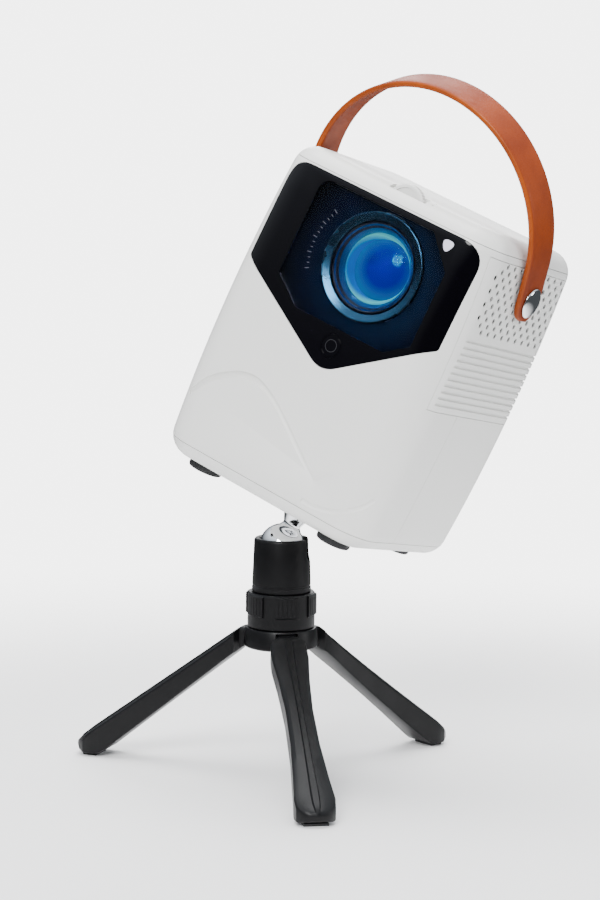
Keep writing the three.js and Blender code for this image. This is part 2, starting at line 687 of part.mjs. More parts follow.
// cup under the ball, with the flange that closes the housing from below
const seatArc = Array.from({ length: 5 }, (_, i) => {
  const angle = THREE.MathUtils.degToRad(-40) - i * THREE.MathUtils.degToRad(50) / 4;
  return [(BALL_R + GAP) * Math.cos(angle), (BALL_R + GAP) * Math.sin(angle)];
});
seatArc.at(-1)[0] = 0;
place(pan, 'ball_seat', turned([
  [0, -19.5], [12.6, -19.5], [12.6, seatArc[0][1]], ...seatArc,
], 'z', [0, 0, 0], 20), BLACK);

// ---- lock ring, hub and legs -----------------------------------------------

const padWidth = 13;
const ringPads = Array.from({ length: RING.pads }, (_, i) => (
  block(
    [RING.radius - 1, -padWidth / 2, RING.low + 7],
    [RING.radius + RING.padDepth, padWidth / 2, RING.high - 0.4],
  ).rotateZ((i + 0.5) * 2 * Math.PI / RING.pads)
));
place(stand, 'lock_ring', cut(
  join(rod(RING.radius, RING.low, RING.high, 'z', [0, 0, 0], 32), ...ringPads),
  rod(HUB.post + GAP, 0, FAR, 'z', [0, 0, 0], 32),
), BLACK);

const legAngles = Array.from({ length: LEG_COUNT }, (_, i) => -Math.PI / 2 + i * 2 * Math.PI / LEG_COUNT);

const hubBlank = join(
  turned([
    [0, HUB.low], [HUB.rLow - 1, HUB.low], [HUB.rLow, HUB.low + 1],
    [HUB.rHigh, HUB.high], [0, HUB.high],
  ], 'z', [0, 0, 0], 32),
  rod(HUB.post, HUB.high - 1, HOUSING.low + 4, 'z', [0, 0, 0], 32),
);
const slotHalf = LEG.tongue / 2 + 0.4;
const hubSlots = legAngles.map((angle) => (
  block([PIVOT.r - PIVOT.eye - 0.8, -slotHalf, 0], [FAR, slotHalf, HUB.high - 0.9]).rotateZ(angle)
));
const pinHoles = legAngles.map((angle) => (
  rod(PIVOT.pin + 0.05, -9.3, 9.3, 'y', [PIVOT.r, 0, PIVOT.z], 16).rotateZ(angle)
));
place(stand, 'hub', cut(hubBlank, ...hubSlots, ...pinHoles), BLACK);

// a leg's side view, radius against height
const legSide = roundedShape([
  [PIVOT.r - PIVOT.eye, PIVOT.z - PIVOT.eye, 4],
  [PIVOT.r + 4, PIVOT.z - PIVOT.eye, 2],
  [LEG.padLow - 3, 1.8, 6],
  [LEG.padHigh - 1, 1.8, 4],
  [LEG.tipR, 8, 4],
  [LEG.tipR - 9, 15.4, 6],
  [PIVOT.r + 9, PIVOT.z + 5, 3],
  [PIVOT.r - PIVOT.eye, PIVOT.z + PIVOT.eye, 4],
]);
// a leg's top view, radius against half width
const legHalfWidths = [
  [0, LEG.tongue / 2], [23.4, LEG.tongue / 2], [25, 10.2], [32, 10.8], [46, 9],
  [64, 7.8], [84, 8.2], [104, 10], [118, 11.6], [124, 10], [LEG.tipR, 5],
];
const legTop = shapeOf([
  ...legHalfWidths.map(([r, half]) => [r, -half]),
  ...legHalfWidths.map(([r, half]) => [r, half]).reverse(),
]);
const legForm = cut(
  common(
    slabY(legSide, -20, 20),
    new THREE.ExtrudeGeometry(legTop, { depth: 120, bevelEnabled: false }).translate(0, 0, -10),
  ),
  rod(PIVOT.pin + GAP, -FAR, FAR, 'y', [PIVOT.r, 0, PIVOT.z], 16),
);
legAngles.forEach((angle, i) => {
  place(stand, `leg_${i + 1}`, legForm, BLACK).rotation.z = angle;
  const pin = rod(PIVOT.pin, -9, 9, 'y', [PIVOT.r, 0, PIVOT.z], 16);
  place(stand, `leg_pin_${i + 1}`, pin, STEEL).rotation.z = angle;
  const pad = block([LEG.padLow, -7, 0], [LEG.padHigh - 2, 7, 1.5]);
  place(stand, `leg_pad_${i + 1}`, pad, RUBBER).rotation.z = angle;
});

// ---- origin at the middle of the footprint ---------------------------------

assembly.updateMatrixWorld(true);
const bounds = new THREE.Box3().setFromObject(assembly, true);
assembly.position.set(
  -(bounds.min.x + bounds.max.x) / 2,
  -(bounds.min.y + bounds.max.y) / 2,
  -bounds.min.z,
);

export default root;
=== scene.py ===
import json
import math

import bmesh
import bpy
from mathutils import Matrix, Vector

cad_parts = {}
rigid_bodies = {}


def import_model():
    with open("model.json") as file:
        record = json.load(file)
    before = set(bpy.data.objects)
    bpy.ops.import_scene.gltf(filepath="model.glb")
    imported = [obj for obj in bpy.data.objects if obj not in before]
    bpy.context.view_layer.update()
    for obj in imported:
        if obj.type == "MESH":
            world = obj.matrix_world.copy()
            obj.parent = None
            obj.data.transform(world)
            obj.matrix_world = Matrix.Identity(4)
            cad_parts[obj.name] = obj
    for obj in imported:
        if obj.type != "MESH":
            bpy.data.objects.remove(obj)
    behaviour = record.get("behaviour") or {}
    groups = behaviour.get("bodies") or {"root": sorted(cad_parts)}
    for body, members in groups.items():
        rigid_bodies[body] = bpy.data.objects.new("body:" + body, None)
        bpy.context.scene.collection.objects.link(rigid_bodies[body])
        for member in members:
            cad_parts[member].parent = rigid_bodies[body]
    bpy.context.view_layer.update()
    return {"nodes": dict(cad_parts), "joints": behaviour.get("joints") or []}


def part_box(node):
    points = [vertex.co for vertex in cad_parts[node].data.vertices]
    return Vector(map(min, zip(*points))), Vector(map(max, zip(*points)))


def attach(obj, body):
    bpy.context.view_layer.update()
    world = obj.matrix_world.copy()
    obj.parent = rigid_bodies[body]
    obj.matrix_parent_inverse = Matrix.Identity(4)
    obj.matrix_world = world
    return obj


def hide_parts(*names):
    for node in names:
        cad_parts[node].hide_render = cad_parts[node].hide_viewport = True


for leftover in list(bpy.data.objects):
    bpy.data.objects.remove(leftover)
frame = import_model()
joints = {joint["name"]: joint for joint in frame["joints"]}

# ---- camera ----------------------------------------------------------------
# A portrait lens a metre and a half from the stand's ball joint, a little
# above it and to its left, looking slightly down.
ball_centre = Vector(joints["head_pan"]["pos_m"])
aim = Vector((0.1718, 0.9765, -0.1301)).normalized()
camera_right = Vector((0.9851, -0.1716, 0.0126)).normalized()
camera = bpy.data.objects.new("camera", bpy.data.cameras.new("camera"))
camera.data.sensor_width = 36.0
camera.data.lens = 110.19
camera.matrix_world = Matrix.Translation(ball_centre + Vector((-0.2614, -1.5420, 0.2611))) @ Matrix(
    (camera_right, camera_right.cross(aim), -aim)
).transposed().to_4x4()
bpy.context.scene.collection.objects.link(camera)
bpy.context.scene.camera = camera

# ---- studio ----------------------------------------------------------------
# Sheet of white paper that fades into a bright room, under large soft boxes:
# a key at the front left, a weak fill at the right, one above and one behind.
paper = bpy.data.materials.new("seamless_paper")
paper.use_nodes = True
paper_nodes, paper_links = paper.node_tree.nodes, paper.node_tree.links
paper_surface = paper_nodes["Principled BSDF"]
paper_surface.inputs["Base Color"].default_value = (0.92, 0.92, 0.92, 1)
paper_surface.inputs["Roughness"].default_value = 0.9
paper_place = paper_nodes.new("ShaderNodeTexCoord")
paper_reach = paper_nodes.new("ShaderNodeVectorMath")
paper_reach.operation = "LENGTH"
paper_fade = paper_nodes.new("ShaderNodeMapRange")
paper_fade.interpolation_type = "SMOOTHSTEP"
paper_fade.inputs["From Min"].default_value = 0.25
paper_fade.inputs["From Max"].default_value = 0.75
paper_fade.inputs["To Min"].default_value = 1.0
paper_fade.inputs["To Max"].default_value = 0.0
paper_links.new(paper_place.outputs["Object"], paper_reach.inputs[0])
paper_links.new(paper_reach.outputs["Value"], paper_fade.inputs["Value"])
paper_links.new(paper_fade.outputs["Result"], paper_surface.inputs["Alpha"])
floor_mesh = bpy.data.meshes.new("floor")
floor_mesh.from_pydata([(-9, -9, 0), (9, -9, 0), (9, 9, 0), (-9, 9, 0)], [], [(0, 1, 2, 3)])
floor_mesh.materials.append(paper)
floor = bpy.data.objects.new("floor", floor_mesh)
bpy.context.scene.collection.objects.link(floor)

for name, place, size, watts in (
    ("key_box", (-0.9, -1.9, 1.7), 1.1, 78),
    ("fill_box", (2.2, -0.7, 0.6), 0.9, 12),
    ("top_box", (0.1, 0.2, 2.2), 1.6, 64),
    ("back_box", (0.6, 2.0, 1.3), 1.3, 26),
):
    lamp = bpy.data.lights.new(name, "AREA")
    lamp.shape = "DISK"
    lamp.size = size
    lamp.energy = watts
    box = bpy.data.objects.new(name, lamp)
    box.location = place
    box.rotation_euler = (Vector((0, 0, 0.2)) - Vector(place)).to_track_quat("-Z", "Y").to_euler()
    bpy.context.scene.collection.objects.link(box)

room = bpy.data.worlds.new("room")
room.use_nodes = True
bpy.context.scene.world = room
room_nodes, room_links = room.node_tree.nodes, room.node_tree.links
soft_light = room_nodes["Background"]
soft_light.inputs["Color"].default_value = (0.94, 0.96, 1.0, 1)
soft_light.inputs["Strength"].default_value = 0.95
backdrop = room_nodes.new("ShaderNodeBackground")
backdrop.inputs["Color"].default_value = (1, 1, 1, 1)
backdrop.inputs["Strength"].default_value = 5.0
ceiling = room_nodes.new("ShaderNodeBackground")
ceiling.inputs["Color"].default_value = (0.86, 0.93, 1.0, 1)
direction = room_nodes.new("ShaderNodeTexCoord")
upward = room_nodes.new("ShaderNodeSeparateXYZ")
fade = room_nodes.new("ShaderNodeMapRange")
fade.inputs["From Min"].default_value = 0.15
fade.inputs["From Max"].default_value = 0.75
fade.inputs["To Min"].default_value = 0.10
fade.inputs["To Max"].default_value = 1.9
seen = room_nodes.new("ShaderNodeLightPath")
mirrored_part = room_nodes.new("ShaderNodeMixShader")
camera_part = room_nodes.new("ShaderNodeMixShader")
for source, target in (
    (direction.outputs["Generated"], upward.inputs[0]),
    (upward.outputs["Z"], fade.inputs["Value"]),
    (fade.outputs["Result"], ceiling.inputs["Strength"]),
    (seen.outputs["Is Glossy Ray"], mirrored_part.inputs["Fac"]),
    (soft_light.outputs[0], mirrored_part.inputs[1]),
    (ceiling.outputs[0], mirrored_part.inputs[2]),
    (seen.outputs["Is Camera Ray"], camera_part.inputs["Fac"]),
    (mirrored_part.outputs[0], camera_part.inputs[1]),
    (backdrop.outputs[0], camera_part.inputs[2]),
    (camera_part.outputs[0], room_nodes["World Output"].inputs["Surface"]),
):
    room_links.new(source, target)

# ---- base plate and camera-screw nut ---------------------------------------
# Shallow tray moulded in the same white plastic as the shells. It closes the
# housing from below and holds a brass nut; four countersunk screws fix it.
stem = Vector(joints["projector_swivel"]["axis"]).normalized()
rearward = Vector(joints["power_key_press"]["axis"]).normalized()
rightward = Vector(joints["strap_swing"]["axis"]).normalized()
strap_pivot = Vector(joints["strap_swing"]["pos_m"])
MM = 0.001


def axes_at(origin, x, y, z):
    return Matrix.Translation(origin) @ Matrix((x, y, z)).transposed().to_4x4() @ Matrix.Scale(MM, 4)


def reach(node, origin, direction):
    along = [(v.co - origin).dot(direction) for v in frame["nodes"][node].data.vertices]
    return min(along), max(along)


underside = strap_pivot + stem * reach("base_plate", strap_pivot, stem)[0]
housing_axes = axes_at(underside, rightward, rearward, stem)


def shape(vertices, faces):
    mesh = bpy.data.meshes.new("blank")
    mesh.from_pydata([tuple(v) for v in vertices], [], faces)
    solid = bmesh.new()
    solid.from_mesh(mesh)
    bmesh.ops.remove_doubles(solid, verts=solid.verts, dist=1e-5)
    bmesh.ops.recalc_face_normals(solid, faces=solid.faces)
    solid.to_mesh(mesh)
    solid.free()
    blank = bpy.data.objects.new("blank", mesh)
    bpy.context.scene.collection.objects.link(blank)
    return blank


def lofted(rings, closed=False):
    count = len(rings[0])
    vertices = [point for ring in rings for point in ring]
    spans = len(rings) if closed else len(rings) - 1
    faces = [
        (
            a * count + i,
            a * count + (i + 1) % count,
            (a + 1) % len(rings) * count + (i + 1) % count,
            (a + 1) % len(rings) * count + i,
        )
        for a in range(spans)
        for i in range(count)
    ]
    if not closed:
        faces += [tuple(range(count)), tuple(range((len(rings) - 1) * count, len(rings) * count))]
    return shape(vertices, faces)


def turned(profile, axis="z", centre=(0, 0, 0), steps=64):
    rings = []
    for k in range(steps):
        c, s = math.cos(2 * math.pi * k / steps), math.sin(2 * math.pi * k / steps)
        rings.append([
            Vector(centre) + Vector({
                "z": (r * c, r * s, h),
                "y": (r * s, h, r * c),
                "x": (h, r * c, r * s),
            }[axis])
            for r, h in profile
        ])
    count = len(profile)
    vertices = [point for ring in rings for point in ring]
    loop = profile[0][0] > 0 and profile[-1][0] > 0
    faces = []
    for k in range(steps):
        for i in range(count if loop else count - 1):
            j = (i + 1) % count
            corners = [
                k * count + i, k * count + j, (k + 1) % steps * count + j, (k + 1) % steps * count + i,
            ]
            if profile[i][0] == 0:
                corners.remove((k + 1) % steps * count + i)
            if profile[j][0] == 0:
                corners.remove((k + 1) % steps * count + j)
            faces.append(tuple(corners))
    return shape(vertices, faces)


def drum(radius, low, high, axis, centre=(0, 0, 0), steps=32):
    return turned([(0, low), (radius, low), (radius, high), (0, high)], axis, centre, steps)


def block(low, high):
    corners = [(x, y, z) for x in (low[0], high[0]) for y in (low[1], high[1]) for z in (low[2], high[2])]
    return shape(
        corners, [(0, 1, 3, 2), (4, 6, 7, 5), (0, 4, 5, 1), (2, 3, 7, 6), (0, 2, 6, 4), (1, 5, 7, 3)],
    )


def gathered(*pieces):
    vertices, faces = [], []
    for piece in pieces:
        start = len(vertices)
        vertices += [v.co.copy() for v in piece.data.vertices]
        faces += [tuple(start + i for i in face.vertices) for face in piece.data.polygons]
        bpy.data.objects.remove(piece)
    return shape(vertices, faces)


def worked(blank, *tools, how="DIFFERENCE"):
    for tool in tools:
        step = blank.modifiers.new("step", "BOOLEAN")
        step.solver = "MANIFOLD"
        step.operation = how
        step.object = tool
    cut_mesh = bpy.data.meshes.new_from_object(blank.evaluated_get(bpy.context.evaluated_depsgraph_get()))
    blank.modifiers.clear()
    blank.data = cut_mesh
    for tool in tools:
        bpy.data.objects.remove(tool)
    return blank


def fitted(piece, name, axes, body, material, slot, *nodes, sharp=32, soften=0):
    piece.name = name
    piece.data.name = name
    piece.data.transform(axes)
    if soften:
        edge = piece.modifiers.new("moulded_edge", "BEVEL")
        edge.width = soften * MM
        edge.segments = 3
        edge.limit_method = "ANGLE"
        edge.angle_limit = math.radians(40)
        piece.data = bpy.data.meshes.new_from_object(
            piece.evaluated_get(bpy.context.evaluated_depsgraph_get()),
        )
        piece.modifiers.clear()
    piece.data.materials.clear()
    piece.data.materials.append(material)
    piece.data.polygons.foreach_set("use_smooth", [True] * len(piece.data.polygons))
    piece.data.set_sharp_from_angle(angle=math.radians(sharp))
    if nodes:
        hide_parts(*nodes)
    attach(piece, body)
    return piece


WIDTH, DEPTH, HEIGHT, CORNER, EDGE, CROWN = 147, 128, 190, 21, 12, 3.3
WALL, FAR = 4.4, 200


def crowned(x, y, z):
    pull = CROWN * ((z - HEIGHT / 2) / (HEIGHT / 2)) ** 2
    return Vector((x * (1 - 2 * pull / WIDTH), y * (1 - 2 * pull / DEPTH), z))


def housing(inset, bends=14):
    w, d, r, e = WIDTH / 2 - inset, DEPTH / 2 - inset, CORNER - inset, EDGE - inset
    turns = [i * math.pi / 2 / 6 for i in range(7)]
    levels = [(EDGE - e * math.cos(t), e * (1 - math.sin(t))) for t in turns]
    levels += [(EDGE + i * (HEIGHT - 2 * EDGE) / 12, 0) for i in range(1, 12)]
    levels += [(HEIGHT - z, shrink) for z, shrink in reversed(levels[:7])]
    rings = []
    for z, shrink in levels:
        ring = []
        for quarter, (sx, sy) in enumerate(((1, 1), (-1, 1), (-1, -1), (1, -1))):
            for i in range(bends + 1):
                angle = (quarter + i / bends) * math.pi / 2
                ring.append(crowned(
                    sx * (w - r) + (r - shrink) * math.cos(angle),
                    sy * (d - r) + (r - shrink) * math.sin(angle),
                    z,
                ))
        rings.append(ring)
    return lofted(rings)


def node_group(name, inputs, outputs):
    group = bpy.data.node_groups.new(name, "ShaderNodeTree")
    for label, kind in inputs:
        group.interface.new_socket(label, in_out="INPUT", socket_type=kind)
    for label, kind in outputs:
        group.interface.new_socket(label, in_out="OUTPUT", socket_type=kind)
    return group, group.nodes.new("NodeGroupInput"), group.nodes.new("NodeGroupOutput")


grain, taken, given = node_group(
    "moulded_grain",
    (
        ("Where", "NodeSocketVector"), ("Colour", "NodeSocketColor"), ("Deeper", "NodeSocketColor"),
        ("Patches", "NodeSocketFloat"), ("Grain", "NodeSocketFloat"),
        ("Smoothest", "NodeSocketFloat"), ("Roughest", "NodeSocketFloat"),
    ),
    (("Colour", "NodeSocketColor"), ("Roughness", "NodeSocketFloat"), ("Height", "NodeSocketFloat")),
)
patches = grain.nodes.new("ShaderNodeTexNoise")
patches.inputs["Detail"].default_value = 4
tone = grain.nodes.new("ShaderNodeMix")
tone.data_type = "RGBA"
shine = grain.nodes.new("ShaderNodeMapRange")
shine.inputs["From Min"].default_value = 0.3
shine.inputs["From Max"].default_value = 0.7
pits = grain.nodes.new("ShaderNodeTexNoise")
pits.inputs["Detail"].default_value = 2
for source, target in (
    (taken.outputs["Where"], patches.inputs["Vector"]),
    (taken.outputs["Patches"], patches.inputs["Scale"]),
    (taken.outputs["Where"], pits.inputs["Vector"]),
    (taken.outputs["Grain"], pits.inputs["Scale"]),
    (patches.outputs["Fac"], tone.inputs[0]),
    (taken.outputs["Colour"], tone.inputs[6]),
    (taken.outputs["Deeper"], tone.inputs[7]),
    (patches.outputs["Fac"], shine.inputs["Value"]),
    (taken.outputs["Smoothest"], shine.inputs["To Min"]),
    (taken.outputs["Roughest"], shine.inputs["To Max"]),
    (tone.outputs[2], given.inputs["Colour"]),
    (shine.outputs["Result"], given.inputs["Roughness"]),
    (pits.outputs["Fac"], given.inputs["Height"]),
):
    grain.links.new(source, target)


def finish(name, effect_tree, values, settings=None, bump_strength=0, relief=0, glow_strength=0):
    material = bpy.data.materials.new(name)
    material.use_nodes = True
    nodes, links = material.node_tree.nodes, material.node_tree.links
    surface = nodes["Principled BSDF"]
    where = nodes.new("ShaderNodeTexCoord")
    effect = nodes.new("ShaderNodeGroup")
    effect.node_tree = effect_tree
    for label, value in values.items():
        effect.inputs[label].default_value = value
    links.new(where.outputs["Object"], effect.inputs["Where"])
    links.new(effect.outputs["Colour"], surface.inputs["Base Color"])
    if bump_strength:
        bump = nodes.new("ShaderNodeBump")
        bump.inputs["Strength"].default_value = bump_strength
        bump.inputs["Distance"].default_value = relief * MM
        links.new(effect.outputs["Roughness"], surface.inputs["Roughness"])
        links.new(effect.outputs["Height"], bump.inputs["Height"])
        links.new(bump.outputs["Normal"], surface.inputs["Normal"])
    if glow_strength:
        links.new(effect.outputs["Colour"], surface.inputs["Emission Color"])
        surface.inputs["Emission Strength"].default_value = glow_strength
    for socket, value in (settings or {}).items():
        surface.inputs[socket].default_value = value
    return material


def moulded(name, colour, deeper, patch_scale, grain_scale, roughness, relief, settings=None):
    return finish(name, grain, {
        "Colour": (*colour, 1), "Deeper": (*deeper, 1), "Patches": patch_scale, "Grain": grain_scale,
        "Smoothest": roughness[0], "Roughest": roughness[1],
    }, settings, 0.6, relief)


white_plastic = moulded(
    "white_plastic", (0.80, 0.80, 0.775), (0.765, 0.765, 0.74), 14, 1500, (0.36, 0.46), 0.012,
    {"Specular IOR Level": 0.45, "Coat Weight": 0.12, "Coat Roughness": 0.25},
)
brass = moulded(
    "brass", (0.62, 0.44, 0.17), (0.50, 0.34, 0.12), 160, 900, (0.24, 0.40), 0.01, {"Metallic": 1.0},
)
screw_steel = moulded(
    "screw_steel", (0.42, 0.42, 0.43), (0.33, 0.33, 0.35), 200, 900, (0.22, 0.36), 0.01, {"Metallic": 1.0},
)

SOLE = 8.0
FOOT_SPOTS = ((46, -38), (46, 38), (-46, 38), (-46, -38))
SCREW_SPOTS = ((0, -46), (0, 46), (56, 0), (-56, 0))
base = worked(
    housing(0),
    block((-FAR, -FAR, SOLE), (FAR, FAR, 300)),
    housing(WALL),
    drum(3.6, -50, 50, "z"),
    *[drum(10.3, -20, 1.2, "z", (x, y, 0), 48) for x, y in FOOT_SPOTS],
    *[turned([(0, -1), (3.9, -1), (2.9, 1.5), (0, 1.5)], "z", (x, y, 0), 32) for x, y in SCREW_SPOTS],
    turned([(17.2, -1), (18.2, -1), (17.7, 0.5)], "z"),
)
fitted(base, "base_tray", housing_axes, "projector", white_plastic, "white_shell", "base_plate")
for i, (x, y) in enumerate(SCREW_SPOTS):
    screw = worked(
        turned([(0, 0.5), (2.9, 0.5), (3.1, 0.8), (2.75, 1.45), (0, 1.45)], "z", (x, y, 0), 32),
        block((x - 1.9, y - 0.35, -1), (x + 1.9, y + 0.35, 1.0)),
        block((x - 0.35, y - 1.9, -1), (x + 0.35, y + 1.9, 1.0)),
    )
    fitted(screw, f"base_screw_{i + 1}", housing_axes, "projector", screw_steel, "steel")
nut = turned([
    (3.5, 4.7), (6.4, 4.7), (7, 5.3), (7, 7), (6.6, 7.3), (6.6, 8.3), (7, 8.6), (7, 10.3), (6.4, 10.9),
    (3.5, 10.9),
], "z")
fitted(nut, "camera_nut", housing_axes, "projector", brass, "brass", "tripod_nut")

# ---- rubber feet -----------------------------------------------------------
# Four turned rubber pucks glued in round recesses of the base plate, with a
# rounded rim and a ring of grip grooves in the underside.
rubber = moulded("rubber", (0.006, 0.006, 0.007), (0.012, 0.012, 0.013), 120, 2200, (0.62, 0.80), 0.05)
for i, (x, y) in enumerate(FOOT_SPOTS):
    foot = turned([
        (0, -4.2), (3.2, -4.2), (3.6, -3.7), (4.4, -3.7), (4.8, -4.2), (6.4, -4.2), (6.8, -3.7), (7.6, -3.7),
        (8, -4.2), (8.7, -4.5), (9.4, -4.2), (9.8, -3.6), (10, -2.8), (10, 0.9), (0, 0.9),
    ], "z", (x, y, 0), 48)
    fitted(foot, f"foot_puck_{i + 1}", housing_axes, "projector", rubber, "rubber", f"rubber_foot_{i + 1}")

# ---- front and rear shell --------------------------------------------------
# Two half shells in warm white moulded plastic, meeting at a hairline seam on
# each side. The front one carries a soft wave pressed into its lower half.
GAP = 0.3
LID, SPLIT = 181.5, -18
COVER_FRONT, COVER_INNER, COVER_LOW, COVER_HIGH = -53, 40, 88.5, 177.3
STUD_HEIGHT = -reach("base_plate", strap_pivot, stem)[0] * 1000
KEY_X, KEY_Z, KEY_RADIUS = 7.5, 96, 6.6
KEY_SPOT = (KEY_X, 0, KEY_Z)
PLATE_TIP, PLATE_SIDE, PLATE_RIGHT = 80.5, 120, 65
PLATE_SLOPE = (PLATE_SIDE - PLATE_TIP) / (PLATE_RIGHT - KEY_X)
PANE_TIP, PANE_LOW, PANE_HIGH, PANE_LEFT, PANE_RIGHT = 85.5, 106, 176.5, -41, 51
REBATE = 2.3


def cover_zone(side, grow):
    low = (COVER_INNER - grow, COVER_FRONT - grow, COVER_LOW - grow)
    high = (FAR, FAR, COVER_HIGH + grow)
    if side > 0:
        return block(low, high)
    return block((-high[0], low[1], low[2]), (-low[0], high[1], high[2]))


def rounded(corners, steps=10):
    points = []
    for i, (u, v, radius) in enumerate(corners):
        here = Vector((u, v))
        before = (Vector(corners[i - 1][:2]) - here).normalized()
        after = (Vector(corners[(i + 1) % len(corners)][:2]) - here).normalized()
        if radius <= 0:
            points.append(here)
            continue
        cut_back = radius / math.tan(before.angle(after) / 2)
        start, end = here + before * cut_back, here + after * cut_back
        for k in range(steps + 1):
            t = k / steps
            points.append(start * (1 - t) ** 2 + here * 2 * t * (1 - t) + end * t ** 2)
    return points


def slab(outline, front, back):
    return lofted([[(u, front, v) for u, v in outline], [(u, back, v) for u, v in outline]])


def fascia_outline(grow):
    return rounded([
        (KEY_X, PLATE_TIP - grow * 1.2, 16),
        (PLATE_RIGHT + grow, PLATE_SIDE - grow * 0.5, 3),
        (PLATE_RIGHT + grow, 180 + grow, 14),
        (-64 - grow, 180 + grow, 14),
        (-64 - grow, PLATE_SIDE - grow * 0.5, 3),
    ])


def front_skin(x, z):
    over = max(abs(x) - (WIDTH / 2 - CORNER), 0)
    y = -(DEPTH / 2 - CORNER) - math.sqrt(max(CORNER ** 2 - over ** 2, 0))
    return crowned(x, y, z)


def smooth_path(stops, steps=8):
    path = []
    for i in range(len(stops) - 1):
        p = [Vector(stops[max(min(i + k, len(stops) - 1), 0)]) for k in (-1, 0, 1, 2)]
        for k in range(steps):
            t = k / steps
            path.append(0.5 * (
                2 * p[1] + (p[2] - p[0]) * t + (2 * p[0] - 5 * p[1] + 4 * p[2] - p[3]) * t ** 2
                + (3 * p[1] - p[0] - 3 * p[2] + p[3]) * t ** 3
            ))
    return path + [Vector(stops[-1])]


def press_line(stops, radius, depth, fade):
    path = smooth_path(stops)
    rings = []
    for i, (x, z) in enumerate(path):
        ahead = path[min(i + 1, len(path) - 1)] - path[max(i - 1, 0)]
        across = Vector((-ahead.y, 0, ahead.x)).normalized()
        sunk = depth * min(1, (len(path) - 1 - i) / fade)
        skin = front_skin(x, z)
        centre = skin + Vector((0, -(radius - sunk), 0))
        rings.append([
            centre + (across * math.cos(a) + Vector((0, 1, 0)) * math.sin(a)) * radius
            for a in (k * math.pi / 10 for k in range(20))
        ])
    return lofted(rings)


def shell_blank():
    return worked(
        housing(0),
        housing(WALL),
        worked(cover_zone(1, GAP), housing(REBATE)),
        worked(cover_zone(-1, GAP), housing(REBATE)),
        block((58, -44, 93), (FAR, 46, 176)),
        block((-FAR, -44, 93), (-58, 46, 176)),
    )


def window_outline(grow):
    def rise(x):
        return PANE_TIP + PLATE_SLOPE * abs(x - KEY_X)
    half = (PANE_LOW - PANE_TIP) / PLATE_SLOPE
    return rounded([
        (PANE_LEFT - grow, rise(PANE_LEFT), 0), (KEY_X - half, PANE_LOW - grow, 0),
        (KEY_X + half, PANE_LOW - grow, 0), (PANE_RIGHT + grow, rise(PANE_RIGHT), 0),
        (PANE_RIGHT + grow, 159.5, 0), (34, PANE_HIGH + grow, 0), (PANE_LEFT - grow, PANE_HIGH + grow, 8),
    ])


front = worked(
    worked(shell_blank(), block((-FAR, -FAR, SOLE + GAP), (FAR, SPLIT - GAP, LID - GAP)), how="INTERSECT"),
    worked(slab(fascia_outline(GAP), -FAR, 0), housing(REBATE)),
    slab(window_outline(1.6), -FAR, 0),
    drum(7.2, -FAR, -60, "y", KEY_SPOT),
    press_line((
        (-66, 34.5), (-61, 40), (-52.5, 49), (-41, 56.5), (-31, 59.6), (-22, 58.5), (-10, 53),
        (1.5, 45.7), (12, 38.6),
        (24, 30.5), (33, 25),
    ), 1.8, 1.7, 26),
    press_line(((30, 12.6), (40, 13), (53, 16.5), (64, 23.6), (69, 31)), 1.8, 0.7, 10),
)
fitted(front, "front_moulding", housing_axes, "projector", white_plastic, "white_shell", "front_shell")

SOCKETS = (
    ("hdmi_port", -34, 15, 6), ("usb_port", -10, 13, 6), ("audio_jack", 12, 7, 7),
    ("dc_inlet", 34, 9, 9),
)
SOCKET_HEIGHT = 40
rear = worked(
    worked(shell_blank(), block((-FAR, SPLIT, SOLE + GAP), (FAR, FAR, LID - GAP)), how="INTERSECT"),
    *[
        block(
            (x - w / 2 - GAP, 0, SOCKET_HEIGHT - h / 2 - GAP),
            (x + w / 2 + GAP, FAR, SOCKET_HEIGHT + h / 2 + GAP),
        )
        for name, x, w, h in SOCKETS
    ],
    worked(slab(rounded([(-52, 28, 5), (52, 28, 5), (52, 53, 5), (-52, 53, 5)]), 0, FAR), housing(0.6)),
    *[drum(3.1, 61.4, 80, "y", (x, 0, z)) for x in (-34, 34) for z in (20, 80)],
)
fitted(rear, "rear_moulding", housing_axes, "projector", white_plastic, "white_shell", "rear_shell")
for i, (x, z) in enumerate((x, z) for x in (-34, 34) for z in (20, 80)):
    screw = worked(
        turned([(0, 59.4), (2.8, 59.4), (2.8, 60.2), (1.8, 61.0), (0, 61.2)], "y", (x, 0, z), 32),
        block((x - 1.6, 60.2, z - 0.35), (x + 1.6, 63, z + 0.35)),
        block((x - 0.35, 60.2, z - 1.6), (x + 0.35, 63, z + 1.6)),
    )
    fitted(screw, f"rear_screw_{i + 1}", housing_axes, "projector", screw_steel, "steel")

# ---- sockets in the rear wall ----------------------------------------------
# HDMI and USB in folded steel shells, a headphone jack and a barrel inlet in
# black plastic, each soldered to the main board behind the wall.
black_plastic = moulded(
    "black_plastic", (0.005, 0.005, 0.006), (0.009, 0.009, 0.010), 40, 1400, (0.36, 0.48), 0.02,
    {"Specular IOR Level": 0.3},
)
port_steel = moulded(
    "port_steel", (0.56, 0.56, 0.58), (0.46, 0.46, 0.48), 220, 1200, (0.20, 0.34), 0.01,
    {"Metallic": 1.0},
)
for node in ("hdmi_port", "usb_port"):
    frame["nodes"][node].material_slots[0].material = port_steel
for name, x, z0, z1, w in (("hdmi_tongue", -34, 39.2, 40.4, 10), ("usb_tongue", -10, 40.2, 41.8, 9)):
    tongue = block((x - w / 2, 56.2, z0), (x + w / 2, 61.5, z1))
    fitted(tongue, name, housing_axes, "projector", black_plastic, "black_plastic", soften=0.2)
